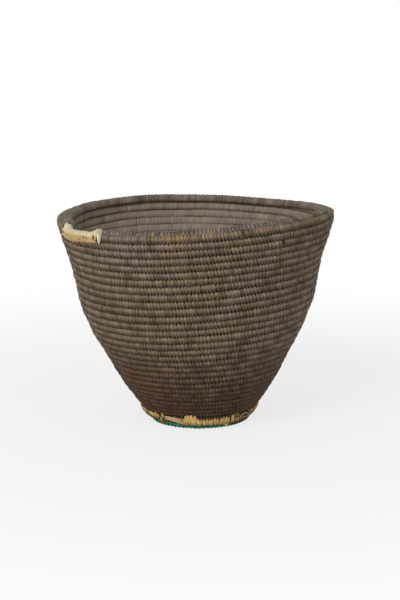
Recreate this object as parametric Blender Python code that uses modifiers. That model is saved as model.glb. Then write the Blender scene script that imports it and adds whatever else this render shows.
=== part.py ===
"""A coiled basket, as tall as a bucket and wider at the rim than at the foot.

A coiled basket is one long rod of grass that is wound round and round and sewn to itself. The rod is wrapped
in dyed fibre, and each wrap also bites into the course below, so the wrapping is the sewing. The pieces here
are the rod's stretches, from the middle of the base out to the rim, and the bindings and loose ends on them.
Every stretch is a tube on a spiral, with the small gap to the next course that the sewing closes on the real
basket.

The basket stands on the plane z = 0, its front faces -Y, and an azimuth of 0 is the front and of 90 degrees
the right. Lengths are in metres.
"""

import bisect
import math

import bmesh
import bpy
from mathutils import Matrix, Vector

MM = 0.001

# The wall's middle line, from the straw course at the foot to the top of the last dark course
WALL_RIM_RADIUS = 162.8 * MM
WALL_HEIGHT = 243.2 * MM
WALL_FOOT_SLOPE = math.radians(52)
WALL_OUTLINE_SHARES = (
    (0.0, 0.0),
    (0.08, 0.14),
    (0.18, 0.29),
    (0.30, 0.44),
    (0.40, 0.58),
    (0.47, 0.65),
    (0.55, 0.725),
    (0.70, 0.795),
    (0.77, 0.83),
    (0.88, 0.92),
    (1.0, 1.0),
)

# The courses of the wall, finer near the foot, and the thin ends that the coil starts and stops with
WALL_PITCH = 9.35 * MM
FOOT_PITCH = 6.7 * MM
FINE_COIL_RISE = 100 * MM
SEAM_GAP = 0.5 * MM
COIL_END = math.radians(143)
PART_TURN_SHARE = 0.4
END_TAPER_SHARE = 0.26
THIN_END_SHARE = 0.25
SPLICE_SHARE = 0.51

# The foot: a flat green coil under one thicker course of straw
BASE_COIL_THICKNESS = 9 * MM
BASE_CENTRE_RADIUS = 6.5 * MM
BASE_EDGE_RADIUS = 59.8 * MM
STRAW_THICKNESS = 11.4 * MM
STRAW_OVERHANG = 4.6 * MM
CENTRE_KNOT_RADIUS = 1.5 * MM
FOOT_FLAT_DEPTH = 0.8 * MM

# The rim rod, which lies on the inner shoulder of the last course
RIM_ROD_THICKNESS = 9.2 * MM
RIM_ROD_LIE = math.radians(17)

# How the hand-made basket departs from a round one
RIM_OVAL = 4.4 * MM
RIM_SKEW = 2.2 * MM
MIDDLE_LEAN = 5.7 * MM
RIM_LEAN = 5.0 * MM
RIM_DIP = 2.5 * MM
RIM_SADDLE = 2.9 * MM
FOOT_SHIFT = 5.1 * MM
LEAN_SHARE = 0.6

# The mend of the rim, front left, where the rim rod has broken away: a pale binding over the last course, a
# knot at its far end, and at its near end a tie that also holds the end of the rod
BINDING_CLEARANCE = 0.45 * MM
BINDING_THICKNESS = 1.3 * MM
KNOT_THICKNESS = 2.2 * MM
TIE_THICKNESS = 1.8 * MM
BINDING_FROM = math.radians(-71.7)
BINDING_TO = math.radians(-49.5)
KNOT_WIDTH = 13 * MM
TIE_WIDTH = 8.5 * MM
LOW_FLAP = math.radians(-20)
COURSE_INNER_FLAP = math.radians(215)
OUTER_FLAP = math.radians(-58)
ROD_INNER_FLAP = math.radians(232)

# The straw stitches that stand apart on the foot
STITCH_COUNT = 10
STITCH_WIDTH = 3.4 * MM
STITCH_THICKNESS = 1.2 * MM
STITCH_CLEARANCE = 0.4 * MM
STITCHES_FROM = math.radians(-12)
STITCHES_TO = math.radians(36)
STITCH_LOW = math.radians(-50)
STITCH_HIGH = math.radians(24)

# Loose pieces of straw at the foot
STRAND_THICKNESS = 2.8 * MM
STRAND_FROM = math.radians(-37.5)
STRAND_TO = math.radians(-17)
LOOP_THICKNESS = 1.4 * MM
LOOP_FROM = math.radians(44)
LOOP_TO = math.radians(61)
LOOP_RISE = 7.5 * MM
FOOT_KNOT_WIDTH = 6.4 * MM
FOOT_KNOT_DEPTH = 3.6 * MM
FOOT_KNOT_HEIGHT = 4.8 * MM
FOOT_KNOT_AZIMUTH = math.radians(29)

# Ends of the wrapping fibre that stand out of the rim
TAG_THICKNESS = 1.8 * MM
TAG_LENGTH = 8 * MM
FRONT_TAG_AZIMUTH = math.radians(7)
BACK_TAG_AZIMUTH = math.radians(160)

# The facets
COIL_POINT_COUNT = 20
BASE_POINT_COUNT = 15
COIL_RESOLUTION = 1
COIL_SIDES = 2 * COIL_RESOLUTION + 4
OUTLINE_STEPS = 24
PITCH_STEPS = 600
ARC_STEPS = 5
KNOT_SEGMENTS = 12
LOOP_STEPS = 8
SHARP_ANGLE = math.radians(60)

TURN = 2 * math.pi
PIECE_GAP = 0.4 * MM

# What follows from these sizes
BASE_CENTRE_HEIGHT = BASE_COIL_THICKNESS / 2 - FOOT_FLAT_DEPTH
STRAW_RADIUS = BASE_EDGE_RADIUS + STRAW_OVERHANG
STRAW_CENTRE_HEIGHT = BASE_CENTRE_HEIGHT + math.sqrt(
    ((BASE_COIL_THICKNESS + STRAW_THICKNESS) / 2 + PIECE_GAP) ** 2 - STRAW_OVERHANG**2
)
WALL_FOOT_RADIUS = STRAW_RADIUS + (STRAW_THICKNESS / 2 + PIECE_GAP) * math.cos(WALL_FOOT_SLOPE)
WALL_FOOT_HEIGHT = STRAW_CENTRE_HEIGHT + (STRAW_THICKNESS / 2 + PIECE_GAP) * math.sin(WALL_FOOT_SLOPE)
BASKET_HEIGHT = WALL_FOOT_HEIGHT + WALL_HEIGHT


def smooth(share):
    """A share from 0 to 1 that starts and ends gently."""
    share = min(max(share, 0.0), 1.0)
    return share * share * (3 - 2 * share)


def place(azimuth, radius, height):
    """Where a point of the round basket lies on this one, whose courses lean, dip and are a little oval."""
    rise = height / BASKET_HEIGHT
    lean = MIDDLE_LEAN * smooth(rise / LEAN_SHARE)
    lean += (RIM_LEAN - MIDDLE_LEAN) * smooth((rise - LEAN_SHARE) / (1 - LEAN_SHARE))
    dip = RIM_SADDLE * rise * math.sin(2 * azimuth) - RIM_DIP * rise * rise * math.cos(azimuth)
    reach = radius + rise * (RIM_SKEW * math.sin(2 * azimuth) - RIM_OVAL * math.cos(2 * azimuth))
    return Vector(
        (
            FOOT_SHIFT * (1 - rise) + reach * math.sin(azimuth),
            -reach * math.cos(azimuth),
            height + lean * math.sin(azimuth) + dip,
        )
    )


def wall_outline():
    """The wall's middle line as (radius, height) points, on a curve through the outline's points."""
    corners = [
        Vector(
            (
                WALL_FOOT_RADIUS + wide * (WALL_RIM_RADIUS - WALL_FOOT_RADIUS),
                WALL_FOOT_HEIGHT + high * WALL_HEIGHT,
            )
        )
        for high, wide in WALL_OUTLINE_SHARES
    ]
    before = 2 * corners[0] - corners[1]
    after = 2 * corners[-1] - corners[-2]
    ends = [before, *corners, after]
    line = []
    for a, b, c, d in zip(ends, ends[1:], ends[2:], ends[3:]):
        for step in range(OUTLINE_STEPS):
            t = step / OUTLINE_STEPS
            bend = 2 * a - 5 * b + 4 * c - d
            twist = 3 * b - a - 3 * c + d
            line.append((2 * b + (c - a) * t + bend * t**2 + twist * t**3) / 2)
    return [*line, corners[-1]]


class Wall:
    """The wall's outline by length along it, and the seams between its courses by turns of the coil."""

    def __init__(self):
        self.line = wall_outline()
        self.lengths = [0.0]
        for a, b in zip(self.line, self.line[1:]):
            self.lengths.append(self.lengths[-1] + (b - a).length)
        self.length = self.lengths[-1]
        self.step = self.length / PITCH_STEPS
        turns = [0.0]
        for i in range(PITCH_STEPS):
            grown = smooth((i + 0.5) * self.step / FINE_COIL_RISE)
            turns.append(turns[-1] + self.step / (FOOT_PITCH + grown * (WALL_PITCH - FOOT_PITCH)))
        self.courses = max(round(turns[-1] - PART_TURN_SHARE), 2) + PART_TURN_SHARE
        self.turns = [t * self.courses / turns[-1] for t in turns]

    def at(self, length):
        """The (radius, height) that lies this far along the wall from its foot."""
        length = min(max(length, 0.0), self.length)
        i = min(bisect.bisect_right(self.lengths, length), len(self.line) - 1)
        share = (length - self.lengths[i - 1]) / (self.lengths[i] - self.lengths[i - 1])
        return self.line[i - 1].lerp(self.line[i], share)

    def seam(self, turn):
        """How far up the wall the seam over an untapered coil lies after this many turns."""
        if turn <= 0:
            return 0.0
        if turn >= self.courses:
            return self.length
        i = bisect.bisect_right(self.turns, turn)
        share = (turn - self.turns[i - 1]) / (self.turns[i] - self.turns[i - 1])
        return (i - 1 + share) * self.step

    def slope(self, length):
        """How steeply the wall rises at this length, measured from the level."""
        across = self.at(length + self.step) - self.at(length - self.step)
        return math.atan2(across.y, across.x)

    def course(self, turn):
        """The lengths along the wall between which the coil lies after this many turns, thin at its end."""
        low, high = self.seam(turn - 1), self.seam(turn)
        taper = min((self.courses - turn) / END_TAPER_SHARE, 1.0)
        return low, low + taper * (high - low)


def azimuth_before_end(turns):
    """The azimuth that lies this many turns before the end of the wall's coil."""
    return COIL_END - TURN * turns


def wall_coil(wall):
    """The centre points, radii and tilts of the wall's whole coil, from one thin end to the other."""
    points, middles, halves, tilts = [], [], [], []
    thin = THIN_END_SHARE * (wall.seam(2) - wall.seam(1))
    for i in range(int(wall.courses * COIL_POINT_COUNT)):
        before_end = (i + 0.5) / COIL_POINT_COUNT
        under, over = wall.course(wall.courses - before_end)
        if over - under > thin:
            middles.append((under + over) / 2)
            halves.append((over - under) / 2)
            points.append(place(azimuth_before_end(before_end), *wall.at(middles[-1])))
            tilts.append(TURN / COIL_SIDES - wall.slope(middles[-1]))
    radii = []
    for i, point in enumerate(points):
        beside = [j for j in (i - COIL_POINT_COUNT, i + COIL_POINT_COUNT) if 0 <= j < len(points)]
        room = min((points[j] - point).length / abs(middles[j] - middles[i]) for j in beside)
        radii.append(halves[i] * min(room, 1.0) - SEAM_GAP / 2)
    return points[::-1], radii[::-1], tilts[::-1]


def least_gap(points, radii, one_turn):
    """The least gap between a coil's surface and that of its other turns, from its centre points."""
    best = math.inf
    for i, point in enumerate(points):
        for j in range(i + one_turn // 2, len(points)):
            best = min(best, (points[j] - point).length - radii[i] - radii[j])
    return best


def collection(name):
    made = bpy.data.collections.new(name)
    bpy.context.scene.collection.children.link(made)
    return made


def material(name, colour, roughness):
    made = bpy.data.materials.new(name)
    made.use_nodes = True
    shader = made.node_tree.nodes["Principled BSDF"]
    shader.inputs["Base Color"].default_value = (*colour, 1.0)
    shader.inputs["Roughness"].default_value = roughness
    shader.inputs["Metallic"].default_value = 0.0
    made.diffuse_color = (*colour, 1.0)
    return made


def move_to(thing, into):
    """Puts an object in this collection alone."""
    for holder in list(thing.users_collection):
        holder.objects.unlink(thing)
    into.objects.link(thing)


def finish(thing, into, finish_material):
    """Puts an object in its collection with its material."""
    move_to(thing, into)
    thing.data.materials.append(finish_material)
    return thing


def tube(name, points, radii, into, finish_material, tilts=None):
    """A rod along points, with a radius at each and, if given, the turn of its edges."""
    curve = bpy.data.curves.new(name, "CURVE")
    curve.dimensions = "3D"
    curve.twist_mode = "Z_UP"
    curve.bevel_depth = max(radii)
    curve.bevel_resolution = COIL_RESOLUTION
    curve.use_fill_caps = True
    spline = curve.splines.new("POLY")
    spline.points.add(len(points) - 1)
    for spot, point, radius, tilt in zip(spline.points, points, radii, tilts or [0.0] * len(points)):
        spot.co = (*point, 1.0)
        spot.radius = radius / curve.bevel_depth
        spot.tilt = tilt
    return finish(bpy.data.objects.new(name, curve), into, finish_material)


def as_mesh(thing):
    """The same object as a closed mesh, its caps joined to its sides."""
    bpy.context.view_layer.update()
    shape = bpy.data.meshes.new_from_object(thing.evaluated_get(bpy.context.evaluated_depsgraph_get()))
    name, into, matrix = thing.name, thing.users_collection[0], thing.matrix_world.copy()
    bpy.data.objects.remove(thing)
    work = bmesh.new()
    work.from_mesh(shape)
    bmesh.ops.remove_doubles(work, verts=work.verts, dist=PIECE_GAP / 100)
    bmesh.ops.recalc_face_normals(work, faces=work.faces)
    work.to_mesh(shape)
    work.free()
    solid = bpy.data.objects.new(name, shape)
    solid.matrix_world = matrix
    into.objects.link(solid)
    return solid


def cut_flat(solid, cutters):
    """Takes off what lies below the ground, so that the basket stands on a flat foot."""
    reach = 2 * WALL_RIM_RADIUS
    bpy.ops.mesh.primitive_cube_add(size=reach, location=(0, 0, -reach / 2))
    ground = bpy.context.object
    ground.name = "ground_cutter"
    ground.hide_render = True
    ground.display_type = "WIRE"
    move_to(ground, cutters)
    cut = solid.modifiers.new("flat foot", "BOOLEAN")
    cut.operation = "DIFFERENCE"
    cut.object = ground


def round_off(solid):
    """Smooth shading on the rounds, with the rims of the caps left sharp."""
    solid.data.shade_smooth()
    solid.data.set_sharp_from_angle(angle=SHARP_ANGLE)


def base_coil(into, cutters, green):
    """The flat green spiral of the base, from the middle out, its underside flattened by standing."""
    pitch = BASE_COIL_THICKNESS + SEAM_GAP
    span = BASE_EDGE_RADIUS - BASE_CENTRE_RADIUS
    count = max(round(span / pitch * BASE_POINT_COUNT), BASE_POINT_COUNT)
    turns = count / BASE_POINT_COUNT
    points = []
    for i in range(count + 1):
        share = i / count
        radius = BASE_CENTRE_RADIUS + share * span
        azimuth = azimuth_before_end((1 - share) * turns)
        points.append(place(azimuth, radius, BASE_CENTRE_HEIGHT))
    radii = [(min(span / turns, pitch) - SEAM_GAP) / 2] * (count + 1)
    print(f"base coil: {turns:.1f} turns, least gap {least_gap(points, radii, BASE_POINT_COUNT) / MM:.2f} mm")
    solid = as_mesh(tube("base_coil", points, radii, into, green))
    cut_flat(solid, cutters)
    round_off(solid)


def centre_knot(into, straw):
    """The start of the rod, tied off in the eye of the base coil."""
    eye = place(0.0, 0.0, BASE_CENTRE_HEIGHT)
    height = BASE_COIL_THICKNESS - 2 * FOOT_FLAT_DEPTH
    bpy.ops.mesh.primitive_cylinder_add(
        vertices=KNOT_SEGMENTS, radius=CENTRE_KNOT_RADIUS, depth=height, location=(*eye.xy, height / 2)
    )
    knot = bpy.context.object
    knot.name = "base_centre_knot"
    finish(knot, into, straw)
    edge = knot.modifiers.new("rounded", "BEVEL")
    edge.width = CENTRE_KNOT_RADIUS / 3
    edge.segments = 2
    edge.limit_method = "ANGLE"
    round_off(knot)


def ring_path(radius, height):
    """One turn on the same facets as the wall, its ends face to face in the middle of a facet."""
    before_end = [(i + 0.5) / COIL_POINT_COUNT for i in reversed(range(COIL_POINT_COUNT))]
    corners = [place(azimuth_before_end(turns), radius, height) for turns in before_end]
    middle = (corners[0] + corners[-1]) / 2
    along = (corners[0] - corners[-1]).normalized()
    return [middle + along * PIECE_GAP / 2, *corners, middle - along * PIECE_GAP / 2]


def on_facet(facet, spot):
    """A place on the straight run between two corners of a turn, which spot gives by turns before the end."""
    corner = math.floor(facet)
    a, b = (spot((corner + i + 0.5) / COIL_POINT_COUNT) for i in (0, 1))
    return a.lerp(b, facet - corner)


def facet_run(start, end, spot):
    """The path between two azimuths along the facets of a turn."""
    low = (COIL_END - end) / TURN * COIL_POINT_COUNT - 0.5
    high = (COIL_END - start) / TURN * COIL_POINT_COUNT - 0.5
    corners = range(math.ceil(high) - 1, math.floor(low), -1)
    return [on_facet(facet, spot) for facet in (high, *corners, low)]


def ring_spot(radius, height):
    """Places a point of a level ring by turns before the coil's end."""
    return lambda before_end: place(azimuth_before_end(before_end), radius, height)


def straw_course(into, straw):
    """The thick course of undyed straw that the wall stands on."""
    points = ring_path(STRAW_RADIUS, STRAW_CENTRE_HEIGHT)
    tube("straw_foot_coil", points, [STRAW_THICKNESS / 2] * len(points), into, straw)


def wall_coils(wall, into, lower_brown, upper_brown):
    """The dark coil of the wall, in the two lengths that are spliced half way up."""
    points, radii, tilts = wall_coil(wall)
    splice = round(SPLICE_SHARE * len(points))
    middle = (points[splice] + points[splice + 1]) / 2
    along = (points[splice + 1] - points[splice]).normalized()
    radius = (radii[splice] + radii[splice + 1]) / 2
    lower = [*points[: splice + 1], middle - along * PIECE_GAP / 2]
    upper = [middle + along * PIECE_GAP / 2, *points[splice + 1 :]]
    tilt = (tilts[splice] + tilts[splice + 1]) / 2
    lower_radii, upper_radii = [*radii[: splice + 1], radius], [radius, *radii[splice + 1 :]]
    tube("wall_coil_lower", lower, lower_radii, into, lower_brown, [*tilts[: splice + 1], tilt])
    tube("wall_coil_upper", upper, upper_radii, into, upper_brown, [tilt, *tilts[splice + 1 :]])
    gap = least_gap(points, radii, COIL_POINT_COUNT)
    print(f"wall coil: {wall.courses} courses, least gap {gap / MM:.2f} mm")


class Rim:
    """The last course and the rim rod on its inner shoulder, by turns before the end of the wall's coil."""

    def __init__(self, wall):
        self.wall = wall
        self.pitch = wall.length - wall.seam(wall.courses - 1)
        self.course_radius = (self.pitch - SEAM_GAP) / 2
        self.rod_radius = RIM_ROD_THICKNESS / 2
        apart = self.course_radius + self.rod_radius + PIECE_GAP
        self.to_rod = Vector((-math.cos(RIM_ROD_LIE), math.sin(RIM_ROD_LIE))) * apart
        middle = wall.length - self.pitch / 2
        self.to_course_below = wall.at(middle - self.pitch) - wall.at(middle)

    def spot(self, before_end, aside=Vector((0, 0))):
        """The middle of the last course, or a place beside it in its section."""
        before_end %= 1.0
        top = self.wall.course(self.wall.courses - before_end)[1]
        return place(azimuth_before_end(before_end), *(self.wall.at(top - self.pitch / 2) + aside))

    def rod_spot(self, before_end):
        return self.spot(before_end, self.to_rod)


def mend_spans():
    """The azimuths of the knot, the binding and the tie, each with a small gap to the next."""
    gap = 2 * PIECE_GAP / WALL_RIM_RADIUS
    knot = (BINDING_FROM - gap - KNOT_WIDTH / WALL_RIM_RADIUS, BINDING_FROM - gap)
    tie = (BINDING_TO + gap, BINDING_TO + gap + TIE_WIDTH / WALL_RIM_RADIUS)
    return knot, (BINDING_FROM, BINDING_TO), tie


def rim_rod(rim, into, brown):
    """The last rod, sewn to the inner shoulder of the wall, from inside the tie round to the knot."""
    knot, _, tie = mend_spans()
    gap = 2 * PIECE_GAP / WALL_RIM_RADIUS
    points = facet_run(tie[0], knot[0] - gap + TURN, rim.rod_spot)
    tube("rim_coil", points, [rim.rod_radius] * len(points), into, brown)
    print(f"rim coil: {len(points)} points, its ends {(points[0] - points[-1]).length / MM:.1f} mm apart")


def arc(centre, radius, start, end):
    """Points on an arc of a section."""
    turns = [start + (end - start) * i / ARC_STEPS for i in range(ARC_STEPS + 1)]
    return [centre + Vector((math.cos(turn), math.sin(turn))) * radius for turn in turns]


def band(name, outline, spot, start, end, into, finish_material):
    """A flat band of the given section between two azimuths, on the facets of what it is folded over."""
    sides = []
    for aside in outline:
        sides.append(facet_run(start, end, lambda before_end, aside=aside: spot(before_end, aside)))
    stations = list(zip(*sides))
    work = bmesh.new()
    section = work.faces.new([work.verts.new(point) for point in stations[0]])
    for station in stations[1:]:
        section = bmesh.ops.extrude_discrete_faces(work, faces=[section])["faces"][0]
        for corner, point in zip(section.verts, station):
            corner.co = point
    bmesh.ops.holes_fill(work, edges=work.edges)
    bmesh.ops.recalc_face_normals(work, faces=work.faces)
    shape = bpy.data.meshes.new(name)
    work.to_mesh(shape)
    work.free()
    round_off(finish(bpy.data.objects.new(name, shape), into, finish_material))


def folded(side, thickness):
    """The section of a band of this thickness, whose face at an offset from the coils is given by side."""
    return side(BINDING_CLEARANCE + thickness) + side(BINDING_CLEARANCE)[::-1]


def course_outline(rim, thickness):
    """A band that hangs over the last course, flat on the outside down to the middle of the course below."""
    below = rim.to_course_below
    outward = math.atan2(below.x, -below.y)

    def side(offset):
        radius = rim.course_radius + offset
        return arc(below, radius, LOW_FLAP, outward) + arc(Vector((0, 0)), radius, outward, COURSE_INNER_FLAP)

    return folded(side, thickness)


def rod_outline(rim, thickness):
    """A band folded over the last course and the rim rod, measured from that course's middle."""
    shoulder = math.pi / 2 - RIM_ROD_LIE

    def side(offset):
        over_course = arc(Vector((0, 0)), rim.course_radius + offset, OUTER_FLAP, shoulder)
        over_rod = arc(rim.to_rod, rim.rod_radius + offset, shoulder, ROD_INNER_FLAP)
        return over_course + over_rod

    return folded(side, thickness)


def rim_binding(rim, into, pale, cream):
    """The mended stretch of the rim: a binding, the knot at its far end and the tie at its near end."""
    knot, binding, tie = mend_spans()
    for name, outline, span, finish_material in (
        ("rim_repair_knot", course_outline(rim, KNOT_THICKNESS), knot, cream),
        ("rim_repair_binding", course_outline(rim, BINDING_THICKNESS), binding, pale),
        ("rim_repair_tie", rod_outline(rim, TIE_THICKNESS), tie, cream),
    ):
        band(name, outline, rim.spot, *span, into, finish_material)


def foot_stitches(into, straw):
    """The straw stitches that stand apart on the foot's front, each folded round the straw course."""
    low, high = ((STRAW_THICKNESS / 2 + STITCH_CLEARANCE + extra) for extra in (0.0, STITCH_THICKNESS))
    centre = Vector((0, 0))
    outline = arc(centre, high, STITCH_LOW, STITCH_HIGH) + arc(centre, low, STITCH_HIGH, STITCH_LOW)

    def spot(before_end, aside):
        radius, height = STRAW_RADIUS + aside.x, STRAW_CENTRE_HEIGHT + aside.y
        return place(azimuth_before_end(before_end), radius, height)

    half = STITCH_WIDTH / 2 / STRAW_RADIUS
    for i in range(STITCH_COUNT):
        middle = STITCHES_FROM + (STITCHES_TO - STITCHES_FROM) * i / (STITCH_COUNT - 1)
        band(f"foot_stitch_{i + 1:02d}", outline, spot, middle - half, middle + half, into, straw)


def foot_strand(into, pale):
    """A strand of the foundation that has come out of its wrapping and lies along the straw course."""
    radius = STRAND_THICKNESS / 2
    reach = STRAW_RADIUS + STRAW_THICKNESS / 2 + radius + PIECE_GAP
    points = facet_run(STRAND_FROM, STRAND_TO, ring_spot(reach, STRAW_CENTRE_HEIGHT))
    tube("foot_loose_strand", points, [radius] * len(points), into, pale)


def foot_loop(wall, into, pale):
    """A thin stitch that has worked loose and arches over the first dark course."""
    radius = LOOP_THICKNESS / 2
    points = []
    for i in range(LOOP_STEPS + 1):
        share = i / LOOP_STEPS
        arch = math.sin(share * math.pi)
        course = wall.at(arch * LOOP_RISE)
        straw_reach = STRAW_RADIUS + STRAW_THICKNESS / 2
        course_reach = course.x + FOOT_PITCH / 2
        reach = straw_reach + arch * (course_reach - straw_reach) + radius + PIECE_GAP
        height = STRAW_CENTRE_HEIGHT + arch * LOOP_RISE
        points.append(place(LOOP_FROM + share * (LOOP_TO - LOOP_FROM), reach, height))
    tube("foot_loose_loop", points, [radius] * len(points), into, pale)


def foot_knot(into, straw):
    """The knotted end of the straw stitching, which stands out over the green edge."""
    reach = BASE_EDGE_RADIUS + (BASE_COIL_THICKNESS + FOOT_KNOT_DEPTH) / 2 + PIECE_GAP
    underside = STRAW_CENTRE_HEIGHT - STRAW_THICKNESS / 2 * math.cos(math.pi / COIL_SIDES)
    height = underside - PIECE_GAP - FOOT_KNOT_HEIGHT / 2
    bpy.ops.mesh.primitive_uv_sphere_add(segments=KNOT_SEGMENTS, ring_count=KNOT_SEGMENTS // 2, radius=0.5)
    knot = bpy.context.object
    knot.name = "foot_knot"
    size = Matrix.Diagonal((FOOT_KNOT_WIDTH, FOOT_KNOT_DEPTH, FOOT_KNOT_HEIGHT, 1.0))
    knot.data.transform(Matrix.Rotation(FOOT_KNOT_AZIMUTH, 4, "Z") @ size)
    knot.location = place(FOOT_KNOT_AZIMUTH, reach, height)
    finish(knot, into, straw)
    knot.data.shade_smooth()


def rim_tags(rim, into, orange):
    """Two ends of the wrapping fibre that lie in the groove on top of the rim."""
    radius = TAG_THICKNESS / 2
    apart = rim.to_rod.length
    across = rim.to_rod / apart
    up = Vector((across.y, -across.x))
    to_course = rim.course_radius + radius + PIECE_GAP
    to_rod = rim.rod_radius + radius + PIECE_GAP
    inward = (to_course**2 - to_rod**2 + apart**2) / (2 * apart)
    seat = across * inward + up * math.sqrt(max(to_course**2 - inward**2, 0.0))
    half = TAG_LENGTH / 2 / WALL_RIM_RADIUS
    for name, azimuth in (("rim_tag_front", FRONT_TAG_AZIMUTH), ("rim_tag_back", BACK_TAG_AZIMUTH)):
        points = facet_run(azimuth - half, azimuth + half, lambda before_end: rim.spot(before_end, seat))
        radii = [radius] * (len(points) - 1) + [radius / 3]
        tube(name, points, radii, into, orange)


def main():
    for thing in list(bpy.data.objects):
        bpy.data.objects.remove(thing)
    basket = collection("coiled_basket")
    cutters = collection("cutters")
    lower_brown = material("dark brown fibre", (0.075, 0.052, 0.037), 0.75)
    upper_brown = material("worn brown fibre", (0.115, 0.088, 0.066), 0.75)
    rim_brown = material("rim fibre", (0.135, 0.110, 0.090), 0.7)
    straw = material("undyed straw", (0.42, 0.30, 0.13), 0.6)
    pale = material("pale binding", (0.52, 0.40, 0.21), 0.55)
    cream = material("cream strap", (0.60, 0.52, 0.31), 0.5)
    green = material("green fibre", (0.045, 0.22, 0.15), 0.6)
    orange = material("orange fibre", (0.55, 0.27, 0.07), 0.6)

    wall = Wall()
    rim = Rim(wall)
    base_coil(basket, cutters, green)
    centre_knot(basket, straw)
    straw_course(basket, straw)
    wall_coils(wall, basket, lower_brown, upper_brown)
    rim_rod(rim, basket, rim_brown)
    rim_binding(rim, basket, pale, cream)
    foot_stitches(basket, straw)
    foot_strand(basket, pale)
    foot_loop(wall, basket, pale)
    foot_knot(basket, straw)
    rim_tags(rim, basket, orange)


main()
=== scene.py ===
# %% [markdown]
# # A coiled basket
# This basket is one long rod of grass that is wound round and round and sewn to itself. The
# sewing fibre wraps the rod completely, so what the eye sees is stitches: thousands of them, side
# by side, in about thirty courses. The lesson builds that wrapping over a plain model of the rod,
# and gives each kind of fibre its own material.

# %% The frame that the looks are built on
import math

import bmesh
import bpy
import numpy as np
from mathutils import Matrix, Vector


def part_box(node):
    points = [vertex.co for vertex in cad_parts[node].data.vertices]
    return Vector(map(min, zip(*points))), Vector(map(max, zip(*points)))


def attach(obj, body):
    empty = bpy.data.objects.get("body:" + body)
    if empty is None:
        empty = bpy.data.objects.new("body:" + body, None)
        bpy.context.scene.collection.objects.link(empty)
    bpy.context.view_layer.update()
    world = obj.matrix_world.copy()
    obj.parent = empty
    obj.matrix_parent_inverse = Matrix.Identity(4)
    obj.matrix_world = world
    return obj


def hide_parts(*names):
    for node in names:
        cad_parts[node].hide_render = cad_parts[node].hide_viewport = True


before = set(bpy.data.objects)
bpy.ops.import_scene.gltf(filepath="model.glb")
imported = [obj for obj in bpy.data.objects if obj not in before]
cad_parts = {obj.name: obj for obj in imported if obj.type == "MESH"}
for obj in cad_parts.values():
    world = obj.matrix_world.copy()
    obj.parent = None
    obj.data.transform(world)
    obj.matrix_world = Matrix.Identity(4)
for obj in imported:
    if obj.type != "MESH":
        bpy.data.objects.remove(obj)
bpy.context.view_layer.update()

# %% [markdown]
# ## The sizes
# The plain model was made from these sizes, and the looks have to lie on it, so they are written
# here again. The wall's middle line is a curve through shares of its height and width. Everything
# is in metres.

# %% The sizes of the basket
MM = 0.001
TURN = 2 * math.pi
WALL_RIM_RADIUS = 162.8 * MM
WALL_HEIGHT = 243.2 * MM
WALL_FOOT_SLOPE = math.radians(52)
WALL_OUTLINE_SHARES = (
    (0.0, 0.0),
    (0.08, 0.14),
    (0.18, 0.29),
    (0.30, 0.44),
    (0.40, 0.58),
    (0.47, 0.65),
    (0.55, 0.725),
    (0.70, 0.795),
    (0.77, 0.83),
    (0.88, 0.92),
    (1.0, 1.0),
)
OUTLINE_STEPS = 24
PITCH_STEPS = 600
WALL_PITCH = 9.35 * MM
FOOT_PITCH = 6.7 * MM
FINE_COIL_RISE = 100 * MM
SEAM_GAP = 0.5 * MM
COIL_END = math.radians(143)
PART_TURN_SHARE = 0.4
END_TAPER_SHARE = 0.26
THIN_END_SHARE = 0.25
SPLICE_SHARE = 0.51

BASE_COIL_THICKNESS = 9 * MM
BASE_CENTRE_RADIUS = 6.5 * MM
BASE_EDGE_RADIUS = 59.8 * MM
FOOT_FLAT_DEPTH = 0.8 * MM
STRAW_THICKNESS = 11.4 * MM
STRAW_OVERHANG = 4.6 * MM
RIM_ROD_THICKNESS = 9.2 * MM
RIM_ROD_LIE = math.radians(17)
PIECE_GAP = 0.4 * MM

BASE_CENTRE_HEIGHT = BASE_COIL_THICKNESS / 2 - FOOT_FLAT_DEPTH
STRAW_RADIUS = BASE_EDGE_RADIUS + STRAW_OVERHANG
STRAW_CENTRE_HEIGHT = BASE_CENTRE_HEIGHT + math.sqrt(
    ((BASE_COIL_THICKNESS + STRAW_THICKNESS) / 2 + PIECE_GAP) ** 2 - STRAW_OVERHANG**2
)
WALL_FOOT_RADIUS = STRAW_RADIUS + (STRAW_THICKNESS / 2 + PIECE_GAP) * math.cos(WALL_FOOT_SLOPE)
WALL_FOOT_HEIGHT = STRAW_CENTRE_HEIGHT + (STRAW_THICKNESS / 2 + PIECE_GAP) * math.sin(WALL_FOOT_SLOPE)
BASKET_HEIGHT = WALL_FOOT_HEIGHT + WALL_HEIGHT
print(f"height of the middle of the rim {BASKET_HEIGHT / MM:.1f} mm")

# %% [markdown]
# ## A round basket, and the hand-made one
# A hand-made basket is never quite round: its courses lean, dip at the front and are a little
# oval. It is easiest to work out every point on a perfectly round basket, by azimuth, radius and
# height, and to move it to its real place in one last step. An azimuth of 0 is the front, and the
# azimuth grows to the right.

# %% From the round basket to the real one
RIM_OVAL = 4.4 * MM
RIM_SKEW = 2.2 * MM
MIDDLE_LEAN = 5.7 * MM
RIM_LEAN = 5.0 * MM
RIM_DIP = 2.5 * MM
RIM_SADDLE = 2.9 * MM
FOOT_SHIFT = 5.1 * MM
LEAN_SHARE = 0.6
DENT = 2.1 * MM
DENT_AT = math.radians(-64)
DENT_WIDTH = math.radians(6.5)
DENT_DEPTH = 26 * MM


def smooth(share):
    """A share from 0 to 1 that starts and ends gently."""
    share = np.clip(share, 0.0, 1.0)
    return share * share * (3 - 2 * share)


def from_front(angle):
    """The same angle counted from the front, up to half a turn to either side."""
    return (angle + math.pi) % TURN - math.pi


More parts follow.
